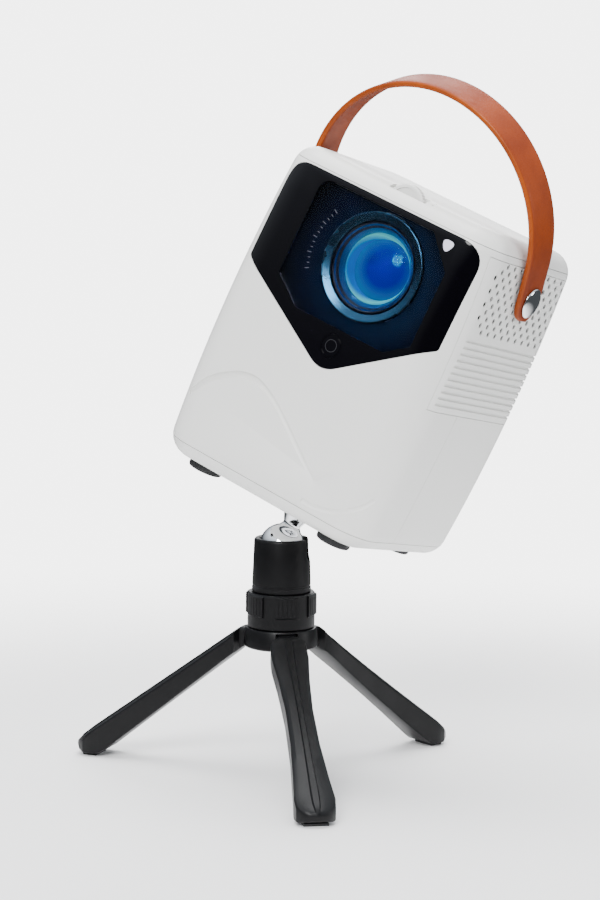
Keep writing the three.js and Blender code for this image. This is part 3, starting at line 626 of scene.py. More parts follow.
for node, x, half, outer, bore, pin in (
    ("audio_jack", 12, 3.5, 3.3, 1.8, 0),
    ("dc_inlet", 34, 4.5, 4.3, 2.9, 1.0),
):
    collar = turned([
        (bore, 53), (outer, 53), (outer, 62.6), (outer - 0.4, 63), (bore + 0.5, 63), (bore, 62.5),
    ], "y", (x, 0, SOCKET_HEIGHT), 40)
    plate = worked(
        block((x - half, 52, SOCKET_HEIGHT - half), (x + half, 61.6, SOCKET_HEIGHT + half)),
        drum(outer - 0.2, 52.8, 80, "y", (x, 0, SOCKET_HEIGHT), 40),
    )
    fitted(
        gathered(plate, collar), node + "_body", housing_axes, "projector", black_plastic,
        "black_plastic", node,
    )
    if pin:
        tip = turned(
            [(0, 54), (pin, 54), (pin, 60.5), (pin * 0.5, 61.4), (0, 61.4)], "y", (x, 0, SOCKET_HEIGHT),
            24,
        )
        fitted(tip, node + "_pin", housing_axes, "projector", port_steel, "steel")

# ---- vent covers -----------------------------------------------------------
# A wrap-round cover in each rear corner, clipped to the shells. Staggered
# round holes let the fan and the speaker through above a field of thin fins.
HOLE, HOLE_ROW, HOLE_STEP = 1.6, 3.85, 9.4
FIN_PITCH, FIN_GROOVE, FIN_DEPTH = 3.8, 1.5, 1.1
ROW_STARTS = (-35.3, -40, -44.7, -40, -44.7, -40, -44.7, -40, -44.7, -40, -35.3)


def vent_cover(side):
    skin = worked(worked(housing(0), cover_zone(side, 0), how="INTERSECT"), housing(2))
    a, b = (60, 80) if side > 0 else (-80, -60)
    field = worked(block((a, -48, 134.5), (b, 46, 176)), housing(0.9), how="INTERSECT")
    grooves = []
    for i in range(11):
        z = 92.6 + i * FIN_PITCH
        front_end = -49.5 + 0.2 * i
        low, high = (0, front_end, z - FIN_GROOVE / 2), (FAR, FAR, z + FIN_GROOVE / 2)
        if side < 0:
            low, high = (-FAR, front_end, low[2]), (0, FAR, high[2])
        grooves.append(worked(block(low, high), housing(FIN_DEPTH)))
    holes = []
    for row, start in enumerate(ROW_STARTS):
        z = 137 + row * HOLE_ROW
        y = start
        while y < 46:
            if math.hypot(y, z - STUD_HEIGHT) > 7:
                holes.append(drum(HOLE, a, b, "x", (0, y, z), 12))
            y += HOLE_STEP
    stud_hole = drum(3.2, -FAR, FAR, "x", (0, 0, STUD_HEIGHT))
    return worked(skin, field, gathered(*grooves), gathered(*holes), stud_hole)


for side, word in ((1, "right"), (-1, "left")):
    fitted(
        vent_cover(side), f"{word}_vent_moulding", housing_axes, "projector", white_plastic, "white_shell",
        f"{word}_vent_cover",
    )

# ---- light engine ----------------------------------------------------------
# Inside the housing: a black box with two Fresnel sheets, the LCD between
# them, a condenser and a white LED board bolted to an extruded heat sink.
matt_black = moulded(
    "matt_black", (0.005, 0.005, 0.006), (0.009, 0.009, 0.010), 60, 1200, (0.55, 0.70), 0.02,
)
clear_sheet = moulded(
    "clear_sheet", (0.90, 0.93, 0.95), (0.84, 0.88, 0.92), 60, 2400, (0.03, 0.08), 0.01,
    {"Transmission Weight": 1.0, "IOR": 1.49},
)
lcd_glass = moulded(
    "lcd_glass", (0.010, 0.012, 0.020), (0.018, 0.020, 0.034), 30, 3000, (0.06, 0.12), 0.004,
    {"Coat Weight": 0.6},
)
board_white = moulded("board_white", (0.80, 0.80, 0.77), (0.72, 0.72, 0.68), 90, 1100, (0.34, 0.5), 0.02)
board_green = moulded(
    "board_green", (0.015, 0.10, 0.045), (0.010, 0.065, 0.03), 260, 900, (0.25, 0.42), 0.04,
)
cast_aluminium = moulded(
    "extruded_aluminium", (0.60, 0.61, 0.63), (0.50, 0.51, 0.53), 90, 1300, (0.28, 0.44), 0.02,
    {"Metallic": 1.0},
)
for material, nodes in (
    (matt_black, ("lens_mount", "optical_box", "fan_frame", "fan_rotor", "speaker", "focus_ring")),
    (clear_sheet, ("fresnel_lens", "rear_fresnel", "condenser_lens", "rear_lens")),
    (lcd_glass, ("lcd_panel",)),
    (board_white, ("led_board",)),
    (board_green, ("main_board", "power_board")),
    (cast_aluminium, ("heat_sink",)),
    (port_steel, ("focus_pin",)),
):
    for node in nodes:
        frame["nodes"][node].material_slots[0].material = material

# ---- lens ------------------------------------------------------------------
# Glass with a coating, in a black barrel behind a bevelled metal ring. The cone, the bowl and the inner glass
# carry painted glow: emissive teal, mint and deep blue colour, deeper towards the middle, standing in for
# light off the coating.
lens_seat = Vector(joints["focus_ring_turn"]["pos_m"])
LENS_X = (lens_seat - underside).dot(rightward) * 1000
LENS_Z = (lens_seat - underside).dot(stem) * 1000
lens_centre = (LENS_X, 0, LENS_Z)

# Radial colour about the lens axis; the materials made from it also emit it as painted glow.
glow, taken, given = node_group(
    "painted_coating_glow",
    (
        ("Where", "NodeSocketVector"), ("Centre", "NodeSocketVector"), ("Axis", "NodeSocketVector"),
        ("Inner Radius", "NodeSocketFloat"), ("Outer Radius", "NodeSocketFloat"),
        ("Inner", "NodeSocketColor"), ("Middle", "NodeSocketColor"), ("Outer", "NodeSocketColor"),
    ),
    (("Colour", "NodeSocketColor"),),
)
offset = glow.nodes.new("ShaderNodeVectorMath")
offset.operation = "SUBTRACT"
across = glow.nodes.new("ShaderNodeVectorMath")
across.operation = "CROSS_PRODUCT"
far_out = glow.nodes.new("ShaderNodeVectorMath")
far_out.operation = "LENGTH"
share = glow.nodes.new("ShaderNodeMapRange")
first_half = glow.nodes.new("ShaderNodeMapRange")
first_half.inputs["From Max"].default_value = 0.5
second_half = glow.nodes.new("ShaderNodeMapRange")
second_half.inputs["From Min"].default_value = 0.5
inner_mix = glow.nodes.new("ShaderNodeMix")
inner_mix.data_type = "RGBA"
outer_mix = glow.nodes.new("ShaderNodeMix")
outer_mix.data_type = "RGBA"
for source, target in (
    (taken.outputs["Where"], offset.inputs[0]),
    (taken.outputs["Centre"], offset.inputs[1]),
    (offset.outputs["Vector"], across.inputs[0]),
    (taken.outputs["Axis"], across.inputs[1]),
    (across.outputs["Vector"], far_out.inputs[0]),
    (far_out.outputs["Value"], share.inputs["Value"]),
    (taken.outputs["Inner Radius"], share.inputs["From Min"]),
    (taken.outputs["Outer Radius"], share.inputs["From Max"]),
    (share.outputs["Result"], first_half.inputs["Value"]),
    (share.outputs["Result"], second_half.inputs["Value"]),
    (first_half.outputs["Result"], inner_mix.inputs[0]),
    (taken.outputs["Inner"], inner_mix.inputs[6]),
    (taken.outputs["Middle"], inner_mix.inputs[7]),
    (second_half.outputs["Result"], outer_mix.inputs[0]),
    (inner_mix.outputs[2], outer_mix.inputs[6]),
    (taken.outputs["Outer"], outer_mix.inputs[7]),
    (outer_mix.outputs[2], given.inputs["Colour"]),
):
    glow.links.new(source, target)


# Emissive material from the radial colour: painted glow, not lamp light.
def lens_glow_painted(name, radii, colours, glow_strength, shift=(0, 0, 0), settings=None):
    inner, middle, outer = ((*colour, 1) for colour in colours)
    return finish(name, glow, {
        "Centre": housing_axes @ (Vector(lens_centre) + Vector(shift)), "Axis": rearward,
        "Inner Radius": radii[0] * MM, "Outer Radius": radii[1] * MM,
        "Inner": inner, "Middle": middle, "Outer": outer,
    }, settings, glow_strength=glow_strength)


ring_metal = moulded(
    "ring_metal", (0.055, 0.13, 0.155), (0.030, 0.085, 0.11), 60, 1600, (0.20, 0.30), 0.004,
    {"Metallic": 1.0},
)
surround = turned([
    (25.9, -55.9), (25.9, -57.3), (26.3, -57.8), (29.6, -59.0), (30.1, -59.2), (30.5, -59.1), (30.8, -58.7),
    (30.8, -55.9),
], "y", lens_centre, 128)
fitted(
    surround, "surround_bevel", housing_axes, "projector", ring_metal, "ring_metal",
    "lens_surround_ring", sharp=24,
)

barrel = turned([
    (24.2, -56.6), (24.8, -57.0), (25.2, -56.6), (25.2, -54.2), (24.9, -53.9), (24.9, -53.2), (25.2, -52.9),
    (25.2, -12), (17, -12), (17, -21), (19.4, -24), (19.4, -45), (20.3, -46), (20.3, -51.6), (23.2, -55.8),
], "y", lens_centre, 128)
fitted(
    barrel, "barrel_tube", housing_axes, "barrel", black_plastic, "black_plastic", "lens_barrel",
    sharp=24,
)
# Painted glow: the teal cone colour is also emitted, standing in for light off the coating.
cone_glow_paint = lens_glow_painted(
    "cone_painted_glow", (18, 25), ((0.012, 0.24, 0.30), (0.004, 0.085, 0.19), (0.002, 0.025, 0.10)), 0.32,
    (1.5, 0, 1.5), {"Roughness": 0.16, "Metallic": 0.35, "Coat Weight": 0.3},
)
cone = turned([
    (19.9, -51.4), (20.3, -51.9), (21.4, -53.2), (21.7, -53.8), (23.0, -55.2), (23.3, -55.9), (24.0, -56.7),
    (24.2, -56.5), (23.3, -55.5), (20.4, -51.5), (20.2, -49.8), (19.9, -49.8),
], "y", lens_centre, 128)
fitted(cone, "barrel_cone", housing_axes, "barrel", cone_glow_paint, "ring_metal", sharp=24)
# Painted glow and painted light: an emissive mint band on the bowl wall, with its centre set off the lens axis
# to stand in for the lit side.
bowl_glow_paint = lens_glow_painted(
    "bowl_painted_glow", (16, 21), ((0.004, 0.12, 0.34), (0.12, 0.70, 0.50), (0.012, 0.30, 0.34)), 0.80,
    (-3.0, 0, -0.8), {"Roughness": 0.3, "Metallic": 0.1, "Specular IOR Level": 0.2},
)
bowl = turned([
    (19.8, -51.2), (19.2, -49.4), (18.2, -47.4), (16.9, -45.8), (16.9, -44.8), (19.2, -44.8), (19.8, -46),
], "y", lens_centre, 96)
fitted(bowl, "lens_bowl", housing_axes, "barrel", bowl_glow_paint, "ring_metal", sharp=40)
# Painted glow: emissive deep blue glass, deepest in the middle and teal at its rim.
cobalt = lens_glow_painted(
    "deep_blue_painted_glow", (2, 18), ((0.0004, 0.003, 0.19), (0.0004, 0.004, 0.15), (0.002, 0.09, 0.20)), 0.85,
    (3, 0, 2),
    {"Roughness": 0.07, "Specular IOR Level": 0.3, "Specular Tint": (0.03, 1.0, 0.8, 1), "IOR": 1.5},
)
deep_glass = turned([
    (0, -50.2), (3, -50.1), (6, -49.75), (9, -49.1), (12, -48.1), (14.5, -46.9), (16.8, -45.5),
    (16.8, -44.6),
    (0, -44.6),
], "y", lens_centre, 96)
fitted(deep_glass, "coated_element", housing_axes, "barrel", cobalt, "lens_glass", sharp=40)
lens_clear = moulded(
    "lens_clear", (0.86, 0.95, 1.0), (0.82, 0.93, 1.0), 20, 3000, (0.0, 0.01), 0.0005,
    {"Transmission Weight": 1.0, "IOR": 1.07},
)
front_glass = turned([
    (0, -55.4), (4, -55.3), (8, -54.9), (12, -54.1), (16, -52.9), (19.0, -51.6), (19.7, -51.2),
    (19.7, -50.4),
    (16, -51.4), (12, -52.5), (8, -53.2), (4, -53.6), (0, -53.8),
], "y", lens_centre, 96)
fitted(
    front_glass, "front_element", housing_axes, "barrel", lens_clear, "lens_glass", "front_lens",
    sharp=40,
)

# ---- dark baffle behind the window -----------------------------------------
# Black sheet around the lens, seen through the window. It carries a painted glow, navy and teal, which stands
# in for light thrown by the lens coating and fades out towards the edges.
baffle_glow_paint = lens_glow_painted(
    "baffle_painted_glow", (30, 60),
    ((0.0004, 0.0070, 0.0170), (0.0002, 0.0014, 0.0075), (0.0001, 0.0001, 0.0006)), 0.30,
    (5, 0, -3), {"Roughness": 0.6, "Specular IOR Level": 0.05},
)
baffle = worked(
    slab(rounded([(-46, 100, 4), (51.6, 100, 4), (51.6, 176.6, 8), (-46, 176.6, 8)]), -57, -55.8),
    drum(31.1, -FAR, 0, "y", lens_centre, 96),
    drum(3.6, -FAR, 0, "y", (LENS_X, 0, 96)),
)
fitted(baffle, "window_baffle", housing_axes, "projector", baffle_glow_paint, "black_plastic", "lens_hood")

# ---- fascia, window, sensor and key ----------------------------------------
# Five-sided piano-black plate let into the shell, flush with it. A clear
# window shows the lens; the remote sensor and the power key fill two holes.
gloss_black = moulded(
    "gloss_black", (0.0006, 0.0006, 0.0008), (0.0010, 0.0007, 0.0022), 9, 4000, (0.05, 0.09), 0.001,
    {"Coat Weight": 0.08, "Coat Roughness": 0.03, "Specular IOR Level": 0.18},
)
window_glass = moulded(
    "window_glass", (0.72, 0.80, 0.98), (0.66, 0.76, 0.95), 9, 4000, (0.0, 0.01), 0.0,
    {"Transmission Weight": 1.0, "IOR": 1.14},
)
sensor_white = moulded("sensor_white", (0.74, 0.73, 0.84), (0.66, 0.65, 0.78), 120, 2000, (0.18, 0.28), 0.01)


def sensor_outline(grow):
    r = 4.4 + grow
    corners = []
    for k in range(3):
        angle = -math.pi / 2 + k * 2 * math.pi / 3
        corners.append((45.2 + 1.25 * r * math.cos(angle), 173.4 + 1.25 * r * math.sin(angle), r * 0.6))
    return rounded(corners)


def from_skin(outline, thickness=2):
    return worked(worked(housing(0), slab(outline, -FAR, 0), how="INTERSECT"), housing(thickness))


plate = worked(
    from_skin(fascia_outline(0)),
    slab(window_outline(0.12), -FAR, 0),
    slab(sensor_outline(0.2), -FAR, 0),
    drum(6.75, -FAR, 0, "y", KEY_SPOT, 64),
)
fitted(plate, "fascia_plate", housing_axes, "projector", gloss_black, "gloss_black", "front_fascia")
fitted(
    from_skin(window_outline(0)), "window_pane", housing_axes, "projector", window_glass,
    "clear_window", "front_window",
)
fitted(
    from_skin(sensor_outline(0)), "sensor_pane", housing_axes, "projector", sensor_white, "icon_white",
    "sensor_window",
)

key_ink = moulded("key_ink", (0.014, 0.014, 0.017), (0.010, 0.010, 0.013), 400, 2000, (0.3, 0.4), 0.004)
key = worked(
    from_skin([
        (KEY_X + KEY_RADIUS * math.cos(a), KEY_Z + KEY_RADIUS * math.sin(a))
        for a in (k * math.pi / 32 for k in range(64))
    ]),
    turned([(5.7, -80), (6.0, -80), (6.0, -63.55), (5.7, -63.55)], "y", KEY_SPOT, 64),
)
key = worked(key, drum(3, -62.2, -56, "y", KEY_SPOT), how="UNION")
fitted(key, "power_key_cap", housing_axes, "key", gloss_black, "gloss_black", "power_key")
key_face = front_skin(KEY_X, KEY_Z).y
emblem = turned([
    (3.2, key_face - 0.06), (3.6, key_face - 0.06), (3.6, key_face + 0.3), (3.2, key_face + 0.3),
], "y", KEY_SPOT, 48)
fitted(emblem, "power_key_ring", housing_axes, "key", key_ink, "icon_white")

mark_ink = moulded("mark_ink", (0.065, 0.072, 0.095), (0.05, 0.056, 0.075), 300, 2000, (0.35, 0.45), 0.004)
marks = []
for k in range(13):
    angle = math.radians(150 + k * 4.6)
    long = 2.6 if k % 3 == 0 else 1.5
    inner, outer = 36.2, 36.2 + long
    u, v = Vector((math.cos(angle), math.sin(angle))), Vector((-math.sin(angle), math.cos(angle))) * 0.22
    corners = [u * inner - v, u * outer - v, u * outer + v, u * inner + v]
    face = front_skin(LENS_X + u.x * inner, LENS_Z + u.y * inner).y
    marks.append(slab([(LENS_X + c.x, LENS_Z + c.y) for c in corners], face - 0.05, face + 0.2))
fitted(gathered(*marks), "focus_scale", housing_axes, "projector", mark_ink, "icon_white")

# ---- top cover and focus wheel ---------------------------------------------
# Moulded lid with a slot for a knurled wheel. The wheel's small pinion turns
# the toothed focus ring around the barrel below it.
lid = worked(
    housing(0),
    block((-FAR, -FAR, -50), (FAR, FAR, LID)),
    housing(WALL),
    block((LENS_X - 12.1, -56.1, 0), (LENS_X + 12.1, -49.5, 300)),
    block((LENS_X - 7, -50.3, 0), (LENS_X + 7, -37, 188.6)),
    *[drum(0.7, 150, 250, "z", (23.5, y, 0), 12) for y in (-54.6, -51.2)],
)
fitted(lid, "lid_moulding", housing_axes, "projector", white_plastic, "white_shell", "top_cover")
WHEEL_HEIGHT = LENS_Z + 38.4
knurl = 72
rim = lofted([
    [(LENS_X + r * math.cos(a), y, WHEEL_HEIGHT + r * math.sin(a)) for r, a in (
        (radius - (0.35 if k % 2 else 0), k * 2 * math.pi / knurl) for k in range(knurl)
    )]
    for radius, y in ((10.9, -55.3), (11.45, -54.9), (11.45, -50.7), (10.9, -50.3))
])
rim = worked(rim, drum(1.7, -80, 0, "y", (LENS_X, 0, WHEEL_HEIGHT)), turned(
    [(4, -80), (9.2, -80), (9.2, -54.6), (4, -54.6)], "y", (LENS_X, 0, WHEEL_HEIGHT), 48))
fitted(rim, "focus_rim", housing_axes, "focus_wheel", white_plastic, "white_shell", "focus_wheel")
teeth = []
for k in range(8):
    for radius, share in ((3.6, -0.29), (5.58, -0.13), (5.58, 0.13), (3.6, 0.29)):
        a = -math.pi / 2 + (k + share) * math.pi / 4
        teeth.append((LENS_X + radius * math.cos(a), WHEEL_HEIGHT + radius * math.sin(a)))
pinion = worked(slab(teeth, -50.3, -44.4), drum(1.7, -80, 0, "y", (LENS_X, 0, WHEEL_HEIGHT)))
fitted(pinion, "focus_pinion", housing_axes, "focus_wheel", white_plastic, "white_shell")

# ---- carry strap -----------------------------------------------------------
# One band of thick tan leather with burnished, rounded edges. Its tongue-
# shaped ends hang on two polished shoulder studs.
strap_lean = math.radians(23)
strap_axes = axes_at(
    strap_pivot, rightward,
    rearward * math.cos(strap_lean) + stem * math.sin(strap_lean),
    stem * math.cos(strap_lean) - rearward * math.sin(strap_lean),
)
BAND, THICK, HALF, SPRING, RISE = 23.5, 3.5, 74.7, 20.3, 77.0
TONGUE = BAND / 2 - 0.05
middle_line = [(HALF, -TONGUE + i * (SPRING + TONGUE) / 18) for i in range(18)]
middle_line += [
    (HALF * math.cos(a), SPRING + RISE * math.sin(a)) for a in (k * math.pi / 72 for k in range(73))
]
middle_line += [(-HALF, SPRING - (i + 1) * (SPRING + TONGUE) / 18) for i in range(18)]
sections = []
for i, (x, z) in enumerate(middle_line):
    ahead = Vector(middle_line[min(i + 1, len(middle_line) - 1)]) - Vector(middle_line[max(i - 1, 0)])
    outward = Vector((ahead.y, 0, -ahead.x)).normalized()
    half = math.sqrt(max((BAND / 2) ** 2 - z ** 2, 0.3)) if z < 0 else BAND / 2
    bulge = min(1.3, half * 0.6)
    edge = [
        (half - bulge + bulge * math.sin(a), (THICK / 2) * math.cos(a))
        for a in (k * math.pi / 6 for k in range(7))
    ]
    flat = [(half - bulge) * t for t in (0.75, 0.5, 0.25, 0, -0.25, -0.5, -0.75)]
    outline = edge + [(f, -THICK / 2) for f in flat]
    outline += [(-w, h) for w, h in reversed(edge)] + [(-f, THICK / 2) for f in flat]
    sections.append([Vector((x, w, z)) + outward * h for w, h in outline])
band = worked(lofted(sections), drum(3.2, -FAR, FAR, "x", (0, 0, 0), 32))

leather_effect, taken, given = node_group(
    "tanned_grain",
    (
        ("Where", "NodeSocketVector"), ("Colour", "NodeSocketColor"), ("Deeper", "NodeSocketColor"),
        ("Pebble", "NodeSocketFloat"), ("Smoothest", "NodeSocketFloat"), ("Roughest", "NodeSocketFloat"),
    ),
    (("Colour", "NodeSocketColor"), ("Roughness", "NodeSocketFloat"), ("Height", "NodeSocketFloat")),
)
pebble = leather_effect.nodes.new("ShaderNodeTexVoronoi")
clouds = leather_effect.nodes.new("ShaderNodeTexNoise")
clouds.inputs["Scale"].default_value = 45
clouds.inputs["Detail"].default_value = 5
spread = leather_effect.nodes.new("ShaderNodeMapRange")
spread.inputs["From Min"].default_value = 0.32
spread.inputs["From Max"].default_value = 0.68
tan_tone = leather_effect.nodes.new("ShaderNodeMix")
tan_tone.data_type = "RGBA"
tan_shine = leather_effect.nodes.new("ShaderNodeMapRange")
for source, target in (
    (taken.outputs["Where"], pebble.inputs["Vector"]),
    (taken.outputs["Pebble"], pebble.inputs["Scale"]),
    (taken.outputs["Where"], clouds.inputs["Vector"]),
    (clouds.outputs["Fac"], spread.inputs["Value"]),
    (spread.outputs["Result"], tan_tone.inputs[0]),
    (taken.outputs["Colour"], tan_tone.inputs[6]),
    (taken.outputs["Deeper"], tan_tone.inputs[7]),
    (spread.outputs["Result"], tan_shine.inputs["Value"]),
    (taken.outputs["Smoothest"], tan_shine.inputs["To Min"]),
    (taken.outputs["Roughest"], tan_shine.inputs["To Max"]),
    (tan_tone.outputs[2], given.inputs["Colour"]),
    (tan_shine.outputs["Result"], given.inputs["Roughness"]),
    (pebble.outputs["Distance"], given.inputs["Height"]),
):
    leather_effect.links.new(source, target)


def leather(name, colour, deeper, pebbles, roughness, relief):
    return finish(name, leather_effect, {
        "Colour": (*colour, 1), "Deeper": (*deeper, 1), "Pebble": pebbles,
        "Smoothest": roughness[0], "Roughest": roughness[1],
    }, {"Specular IOR Level": 0.22}, 0.7, relief)


tan_leather = leather("tan_leather", (0.235, 0.034, 0.0006), (0.165, 0.021, 0.0003), 900, (0.46, 0.60), 0.07)
burnished_edge = leather(
    "burnished_edge", (0.32, 0.058, 0.002), (0.21, 0.034, 0.001), 500, (0.38, 0.50), 0.04,
)
fitted(band, "strap_band", strap_axes, "strap", tan_leather, "leather", "carry_strap", sharp=50)
band.data.materials.append(burnished_edge)
band_across = strap_axes.to_3x3().normalized() @ Vector((0, 1, 0))
for face in band.data.polygons:
    if abs(face.normal.dot(band_across)) > 0.6:
        face.material_index = 1

chrome = moulded(
    "chrome", (0.78, 0.79, 0.80), (0.72, 0.73, 0.75), 60, 2000, (0.05, 0.10), 0.002, {"Metallic": 1.0},
)
strap_face = HALF + THICK / 2
stud_profile = [
    (0, 68), (2.9, 68), (2.9, strap_face + 0.3), (8.5, strap_face + 0.3), (8.8, strap_face + 0.6),
    (8.8, strap_face + 0.9), (8.3, strap_face + 1.4), (6.8, strap_face + 2.0), (4.6, strap_face + 2.5),
    (2.2, strap_face + 2.8), (0, strap_face + 2.88),
]
for side, word in ((1, "right"), (-1, "left")):
    stud = turned([(r, side * h) for r, h in stud_profile], "x", (0, 0, STUD_HEIGHT), 48)
    fitted(stud, f"{word}_stud", housing_axes, "projector", chrome, "chrome", f"strap_stud_{word}", sharp=50)

# ---- ball and camera screw -------------------------------------------------
# Polished ball turned in one piece with its neck, flange and quarter-inch
# screw. A black disc with a rubber face clamps against the base plate.
lean_axis = Vector(joints["ball_tilt"]["axis"]).normalized()
screw_axes = axes_at(ball_centre, lean_axis.cross(stem), lean_axis, stem)
BALL, REST = 13.2, (underside - ball_centre).dot(stem) * 1000
plate_top = REST - GAP - 1.3
plate_low = plate_top - 2.2
ball_profile = [(0, -BALL)]
ball_profile += [
    (BALL * math.cos(a), BALL * math.sin(a)) for a in (math.radians(-85 + i * 6) for i in range(25))
]
ball_profile += [
    (5.4, 13.2), (5.2, 14.4), (5.6, 15.2), (7.8, plate_low - 3.6), (13.4, plate_low - 2.9),
    (14, plate_low - 2.5),
    (14, plate_low - 0.6), (13.7, plate_low - 0.3), (3.1, plate_low - 0.3),
]
z = plate_low
while z < REST + 7.6:
    ball_profile += [(3.1, z), (2.75, z + 0.3), (3.1, z + 0.6)]
    z += 1.27
ball_profile += [(3.1, REST + 8), (2.4, REST + 8.8), (0, REST + 8.8)]
ball = turned(ball_profile, "z", (0, 0, 0), 96)
fitted(ball, "ball_and_screw", screw_axes, "camera_screw", chrome, "chrome", "ball_stud", sharp=40)

ridges = 60
disc_rings = [
    [(r * math.cos(a), r * math.sin(a), z) for r, a in (
        (radius - (cut if k % 2 else 0), k * 2 * math.pi / ridges / 2) for k in range(2 * ridges)
    )]
    for radius, cut, z in (
        (15.9, 0, plate_low), (16.5, 0.3, plate_low + 0.4), (16.5, 0.3, plate_top - 0.5),
        (16.1, 0, plate_top - 0.1),
    )
]
disc = worked(lofted(disc_rings), drum(3.3, -100, 100, "z"))
fitted(disc, "clamp_disc", screw_axes, "camera_screw", black_plastic, "black_plastic", "platform_plate")
pad = turned([
    (3.5, plate_top + 0.1), (15.6, plate_top + 0.1), (16, plate_top + 0.4), (15.8, REST - GAP - 0.2),
    (15.3, REST - GAP), (12.6, REST - GAP), (12.2, REST - GAP - 0.35), (11.6, REST - GAP - 0.35),
    (11.2, REST - GAP),
    (8.6, REST - GAP), (8.2, REST - GAP - 0.35), (7.6, REST - GAP - 0.35), (7.2, REST - GAP),
    (3.5, REST - GAP),
], "z", (0, 0, 0), 64)
fitted(pad, "clamp_pad", screw_axes, "camera_screw", rubber, "rubber", "platform_pad")

# ---- ball housing ----------------------------------------------------------
# Glass-filled nylon cup that holds the ball under its rolled lip, with a
# notch on one side so the screw can drop over. A seat closes it below.
tripod_black = moulded(
    "tripod_black", (0.0020, 0.0020, 0.0024), (0.0045, 0.0045, 0.0050), 30, 1100, (0.34, 0.46), 0.03,
    {"Specular IOR Level": 0.17},
)
head_axes = axes_at(ball_centre, lean_axis.cross(Vector((0, 0, 1))), lean_axis, Vector((0, 0, 1)))
cup_low, cup_high = (h - ball_centre.z for h in (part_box("ball_housing")[0].z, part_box("ball_housing")[1].z))
cup_low, cup_high = cup_low * 1000, cup_high * 1000
socket = [(13.6 * math.cos(a), 13.6 * math.sin(a)) for a in (math.radians(21 - i * 4.1) for i in range(11))]
cup = worked(
    turned([
        (13, cup_low), (16.6, cup_low), (17, cup_low + 0.4), (17, cup_low + 2.6), (16.6, cup_low + 3.0),
        (16.6, cup_low + 3.6), (16.9, cup_low + 4.0), (16.0, cup_high - 1.4), (15.7, cup_high - 0.5),
        (15.2, cup_high), *socket, (13, -8),
    ], "z", (0, 0, 0), 96),
    drum(6.4, 6, 40, "x", (0, 0, -3), 48),
    block((6, -6.4, -3), (40, 6.4, 30)),
)
fitted(cup, "ball_cup", head_axes, "head", tripod_black, "black_plastic", "ball_housing", sharp=28)
frame["nodes"]["ball_seat"].material_slots[0].material = tripod_black

# ---- lock ring -------------------------------------------------------------
# Short threaded collar under the cup, with six raised grip pads. Each pad is
# moulded with upright ribs so that fingers can tighten it.
post_foot = Vector((ball_centre.x, ball_centre.y, 0))
stand_axes = axes_at(post_foot, Vector((1, 0, 0)), Vector((0, 1, 0)), Vector((0, 0, 1)))
ring_low, ring_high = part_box("lock_ring")[0].z * 1000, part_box("lock_ring")[1].z * 1000
collar = turned([
    (7.9, ring_low), (18.9, ring_low), (19.4, ring_low + 0.5), (19.4, ring_high - 0.7), (18.8, ring_high),
    (7.9, ring_high),
], "z", (0, 0, 0), 96)
grips = []
for i in range(6):
    turn = Matrix.Rotation((i + 0.5) * math.pi / 3, 4, "Z")
    arc = [math.radians(-18.6 + k * 37.2 / 12) for k in range(13)]
    outline = [(20.45 * math.cos(a), 20.45 * math.sin(a)) for a in arc] + [
        (18.6 * math.cos(a), 18.6 * math.sin(a)) for a in reversed(arc)
    ]
    levels = ((0.9, ring_low + 7), (0, ring_low + 7.8), (0, ring_high - 1.3), (0.9, ring_high - 0.4))
    grip = lofted([
        [
            (x - (step if i < 13 else 0) * x / 20.45, y * (1 - step / 20), z)
            for i, (x, y) in enumerate(outline)
        ]
        for step, z in levels
    ])
    ribs = [
        drum(0.32, ring_low + 8.4, ring_high - 1.9, "z", (20.55 * math.cos(a), 20.55 * math.sin(a), 0), 8)
        for a in (math.radians(-14 + k * 7) for k in range(5))
    ]
    grip = worked(grip, gathered(*ribs))
    grip.data.transform(turn)
    grips.append(grip)
collar = worked(collar, *grips, how="UNION")
fitted(collar, "lock_collar", stand_axes, "lock_ring", tripod_black, "black_plastic", "lock_ring", sharp=28)

# ---- hub -------------------------------------------------------------------
# Moulded hub with three slots for the legs and a post that carries the lock
# ring and the cup. A steel pin crosses each slot.
hub_low, leg_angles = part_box("hub")[0].z * 1000, [math.radians(-90 + 120 * i) for i in range(3)]
hub_high = ring_low - 0.4
hub_tools = []
for angle in leg_angles:
    turn = Matrix.Rotation(angle, 4, "Z")
    slot = block((9.6, -6.4, 0), (60, 6.4, hub_high - 0.9))
    hole = drum(1.85, -9.3, 9.3, "y", (15, 0, 79.5), 24)
    for tool in (slot, hole):
        tool.data.transform(turn)
        hub_tools.append(tool)
hub = worked(
    turned([
        (0, hub_low), (19.9, hub_low), (20.9, hub_low + 0.4), (21.5, hub_low + 1.2), (20.8, hub_high - 1.2),
        (20.2, hub_high - 0.2), (19.6, hub_high), (7.6, hub_high), (7.6, 111), (0, 111),
    ], "z", (0, 0, 0), 96),
    *hub_tools,
)
fitted(hub, "hub_moulding", stand_axes, "stand", tripod_black, "black_plastic", "hub", sharp=28)

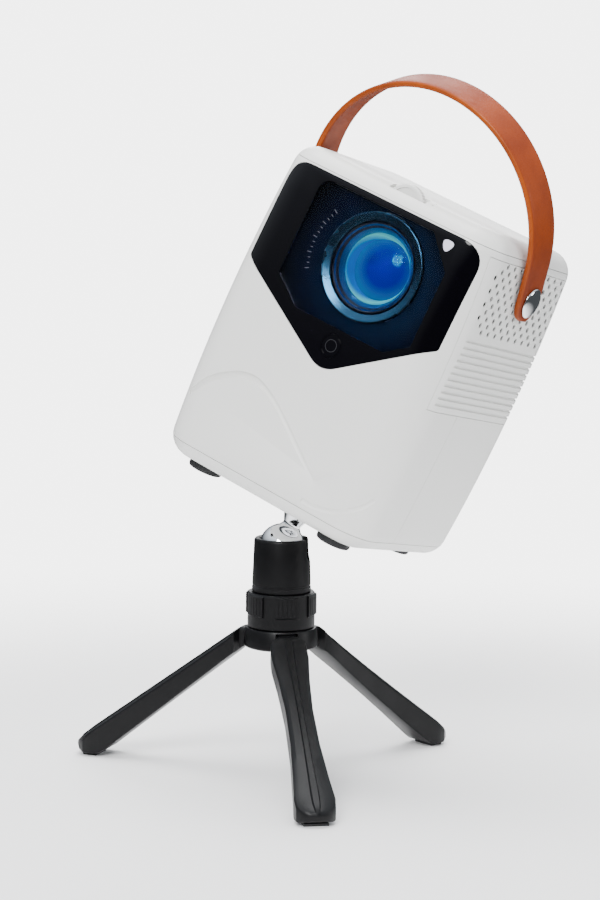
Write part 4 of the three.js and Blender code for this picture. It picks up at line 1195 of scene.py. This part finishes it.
# ---- legs ------------------------------------------------------------------
# Three tapering nylon legs, waisted in the middle, with a spine along the
# top, a broad rounded toe and a rubber pad let into its underside.
TOP_LINE = (
    (10.35, 80.7), (10.6, 81.4), (11.1, 82.3), (11.8, 83.05), (12.8, 83.75), (14, 84.15), (16, 84.4),
    (21, 84.6), (24, 84.2), (26, 82.9), (60, 58.2), (100, 29.2), (116, 17.6), (121, 13.6), (124, 11.2),
    (126, 8.9), (126.6, 7.2),
)
LOW_LINE = (
    (10.35, 78.3), (10.6, 77.6), (11.1, 76.7), (11.8, 75.95), (12.8, 75.25), (14, 74.85), (17.5, 74.7),
    (21, 73.4), (60, 42.2), (100, 10.2), (107, 4.6), (110.5, 2.4), (114, 1.8), (121, 1.8), (124, 3.0),
    (126, 5.0), (126.6, 6.6),
)
HALF_LINE = (
    (10, 6), (23.5, 6), (25.4, 9.9), (27, 10.5), (32, 10.8), (46, 9), (64, 7.8), (84, 8.2), (104, 10),
    (116, 11.5), (120.5, 10.9), (124, 8.4), (126, 5.4), (126.6, 3.4),
)


def along(line, r):
    for (r0, v0), (r1, v1) in zip(line, line[1:]):
        if r <= r1:
            return v0 + (v1 - v0) * (r - r0) / (r1 - r0)
    return line[-1][1]


stations = [10.35, 10.6, 11.1, 11.8, 12.8, 14, 17.5, 20, 22.5, 23.4, 24.2, 25.4, 26.2, 27]
stations += [30 + 3 * i for i in range(26)]
stations += [107, 109, 110.5, 112, 114, 116, 118.5, 120.5, 122, 124, 125, 126, 126.4, 126.6]
leg_rings = []
for r in stations:
    low, high, half = along(LOW_LINE, r), along(TOP_LINE, r), along(HALF_LINE, r)
    tall = high - low
    soft = min(1.5, tall * 0.22, half * 0.3)
    spine = 0.0 if r < 24 else min(1.6, (r - 24) * 0.4, tall * 0.16)
    leg_rings.append([Vector((r, w, h)) for w, h in (
        (-half + soft, low), (half - soft, low), (half - soft * 0.3, low + soft * 0.3), (half, low + soft),
        (half, high - soft - spine * 1.7), (half - soft * 0.35, high - soft * 0.35 - spine * 1.5),
        (half * 0.72, high - spine), (half * 0.22, high - spine * 0.75), (half * 0.15, high),
        (-half * 0.15, high), (-half * 0.22, high - spine * 0.75), (-half * 0.72, high - spine),
        (-half + soft * 0.35, high - soft * 0.35 - spine * 1.5), (-half, high - soft - spine * 1.7),
        (-half, low + soft), (-half + soft * 0.3, low + soft * 0.3),
    )])
for i, angle in enumerate(leg_angles):
    leg_axes = axes_at(
        post_foot, Vector((math.cos(angle), math.sin(angle), 0)),
        Vector((-math.sin(angle), math.cos(angle), 0)),
        Vector((0, 0, 1)),
    )
    leg = worked(lofted(leg_rings), drum(2.1, -30, 30, "y", (15, 0, 79.5), 24))
    fitted(
        leg, f"leg_moulding_{i + 1}", leg_axes, f"leg_{i + 1}", tripod_black, "black_plastic",
        f"leg_{i + 1}", sharp=24,
    )
    grip = slab([(113, 0.4), (113.6, 0), (121.4, 0), (122, 0.4), (122, 1.5), (113, 1.5)], -7, 7)
    fitted(grip, f"leg_tread_{i + 1}", leg_axes, f"leg_{i + 1}", rubber, "rubber", f"leg_pad_{i + 1}")
    frame["nodes"][f"leg_pin_{i + 1}"].material_slots[0].material = port_steel
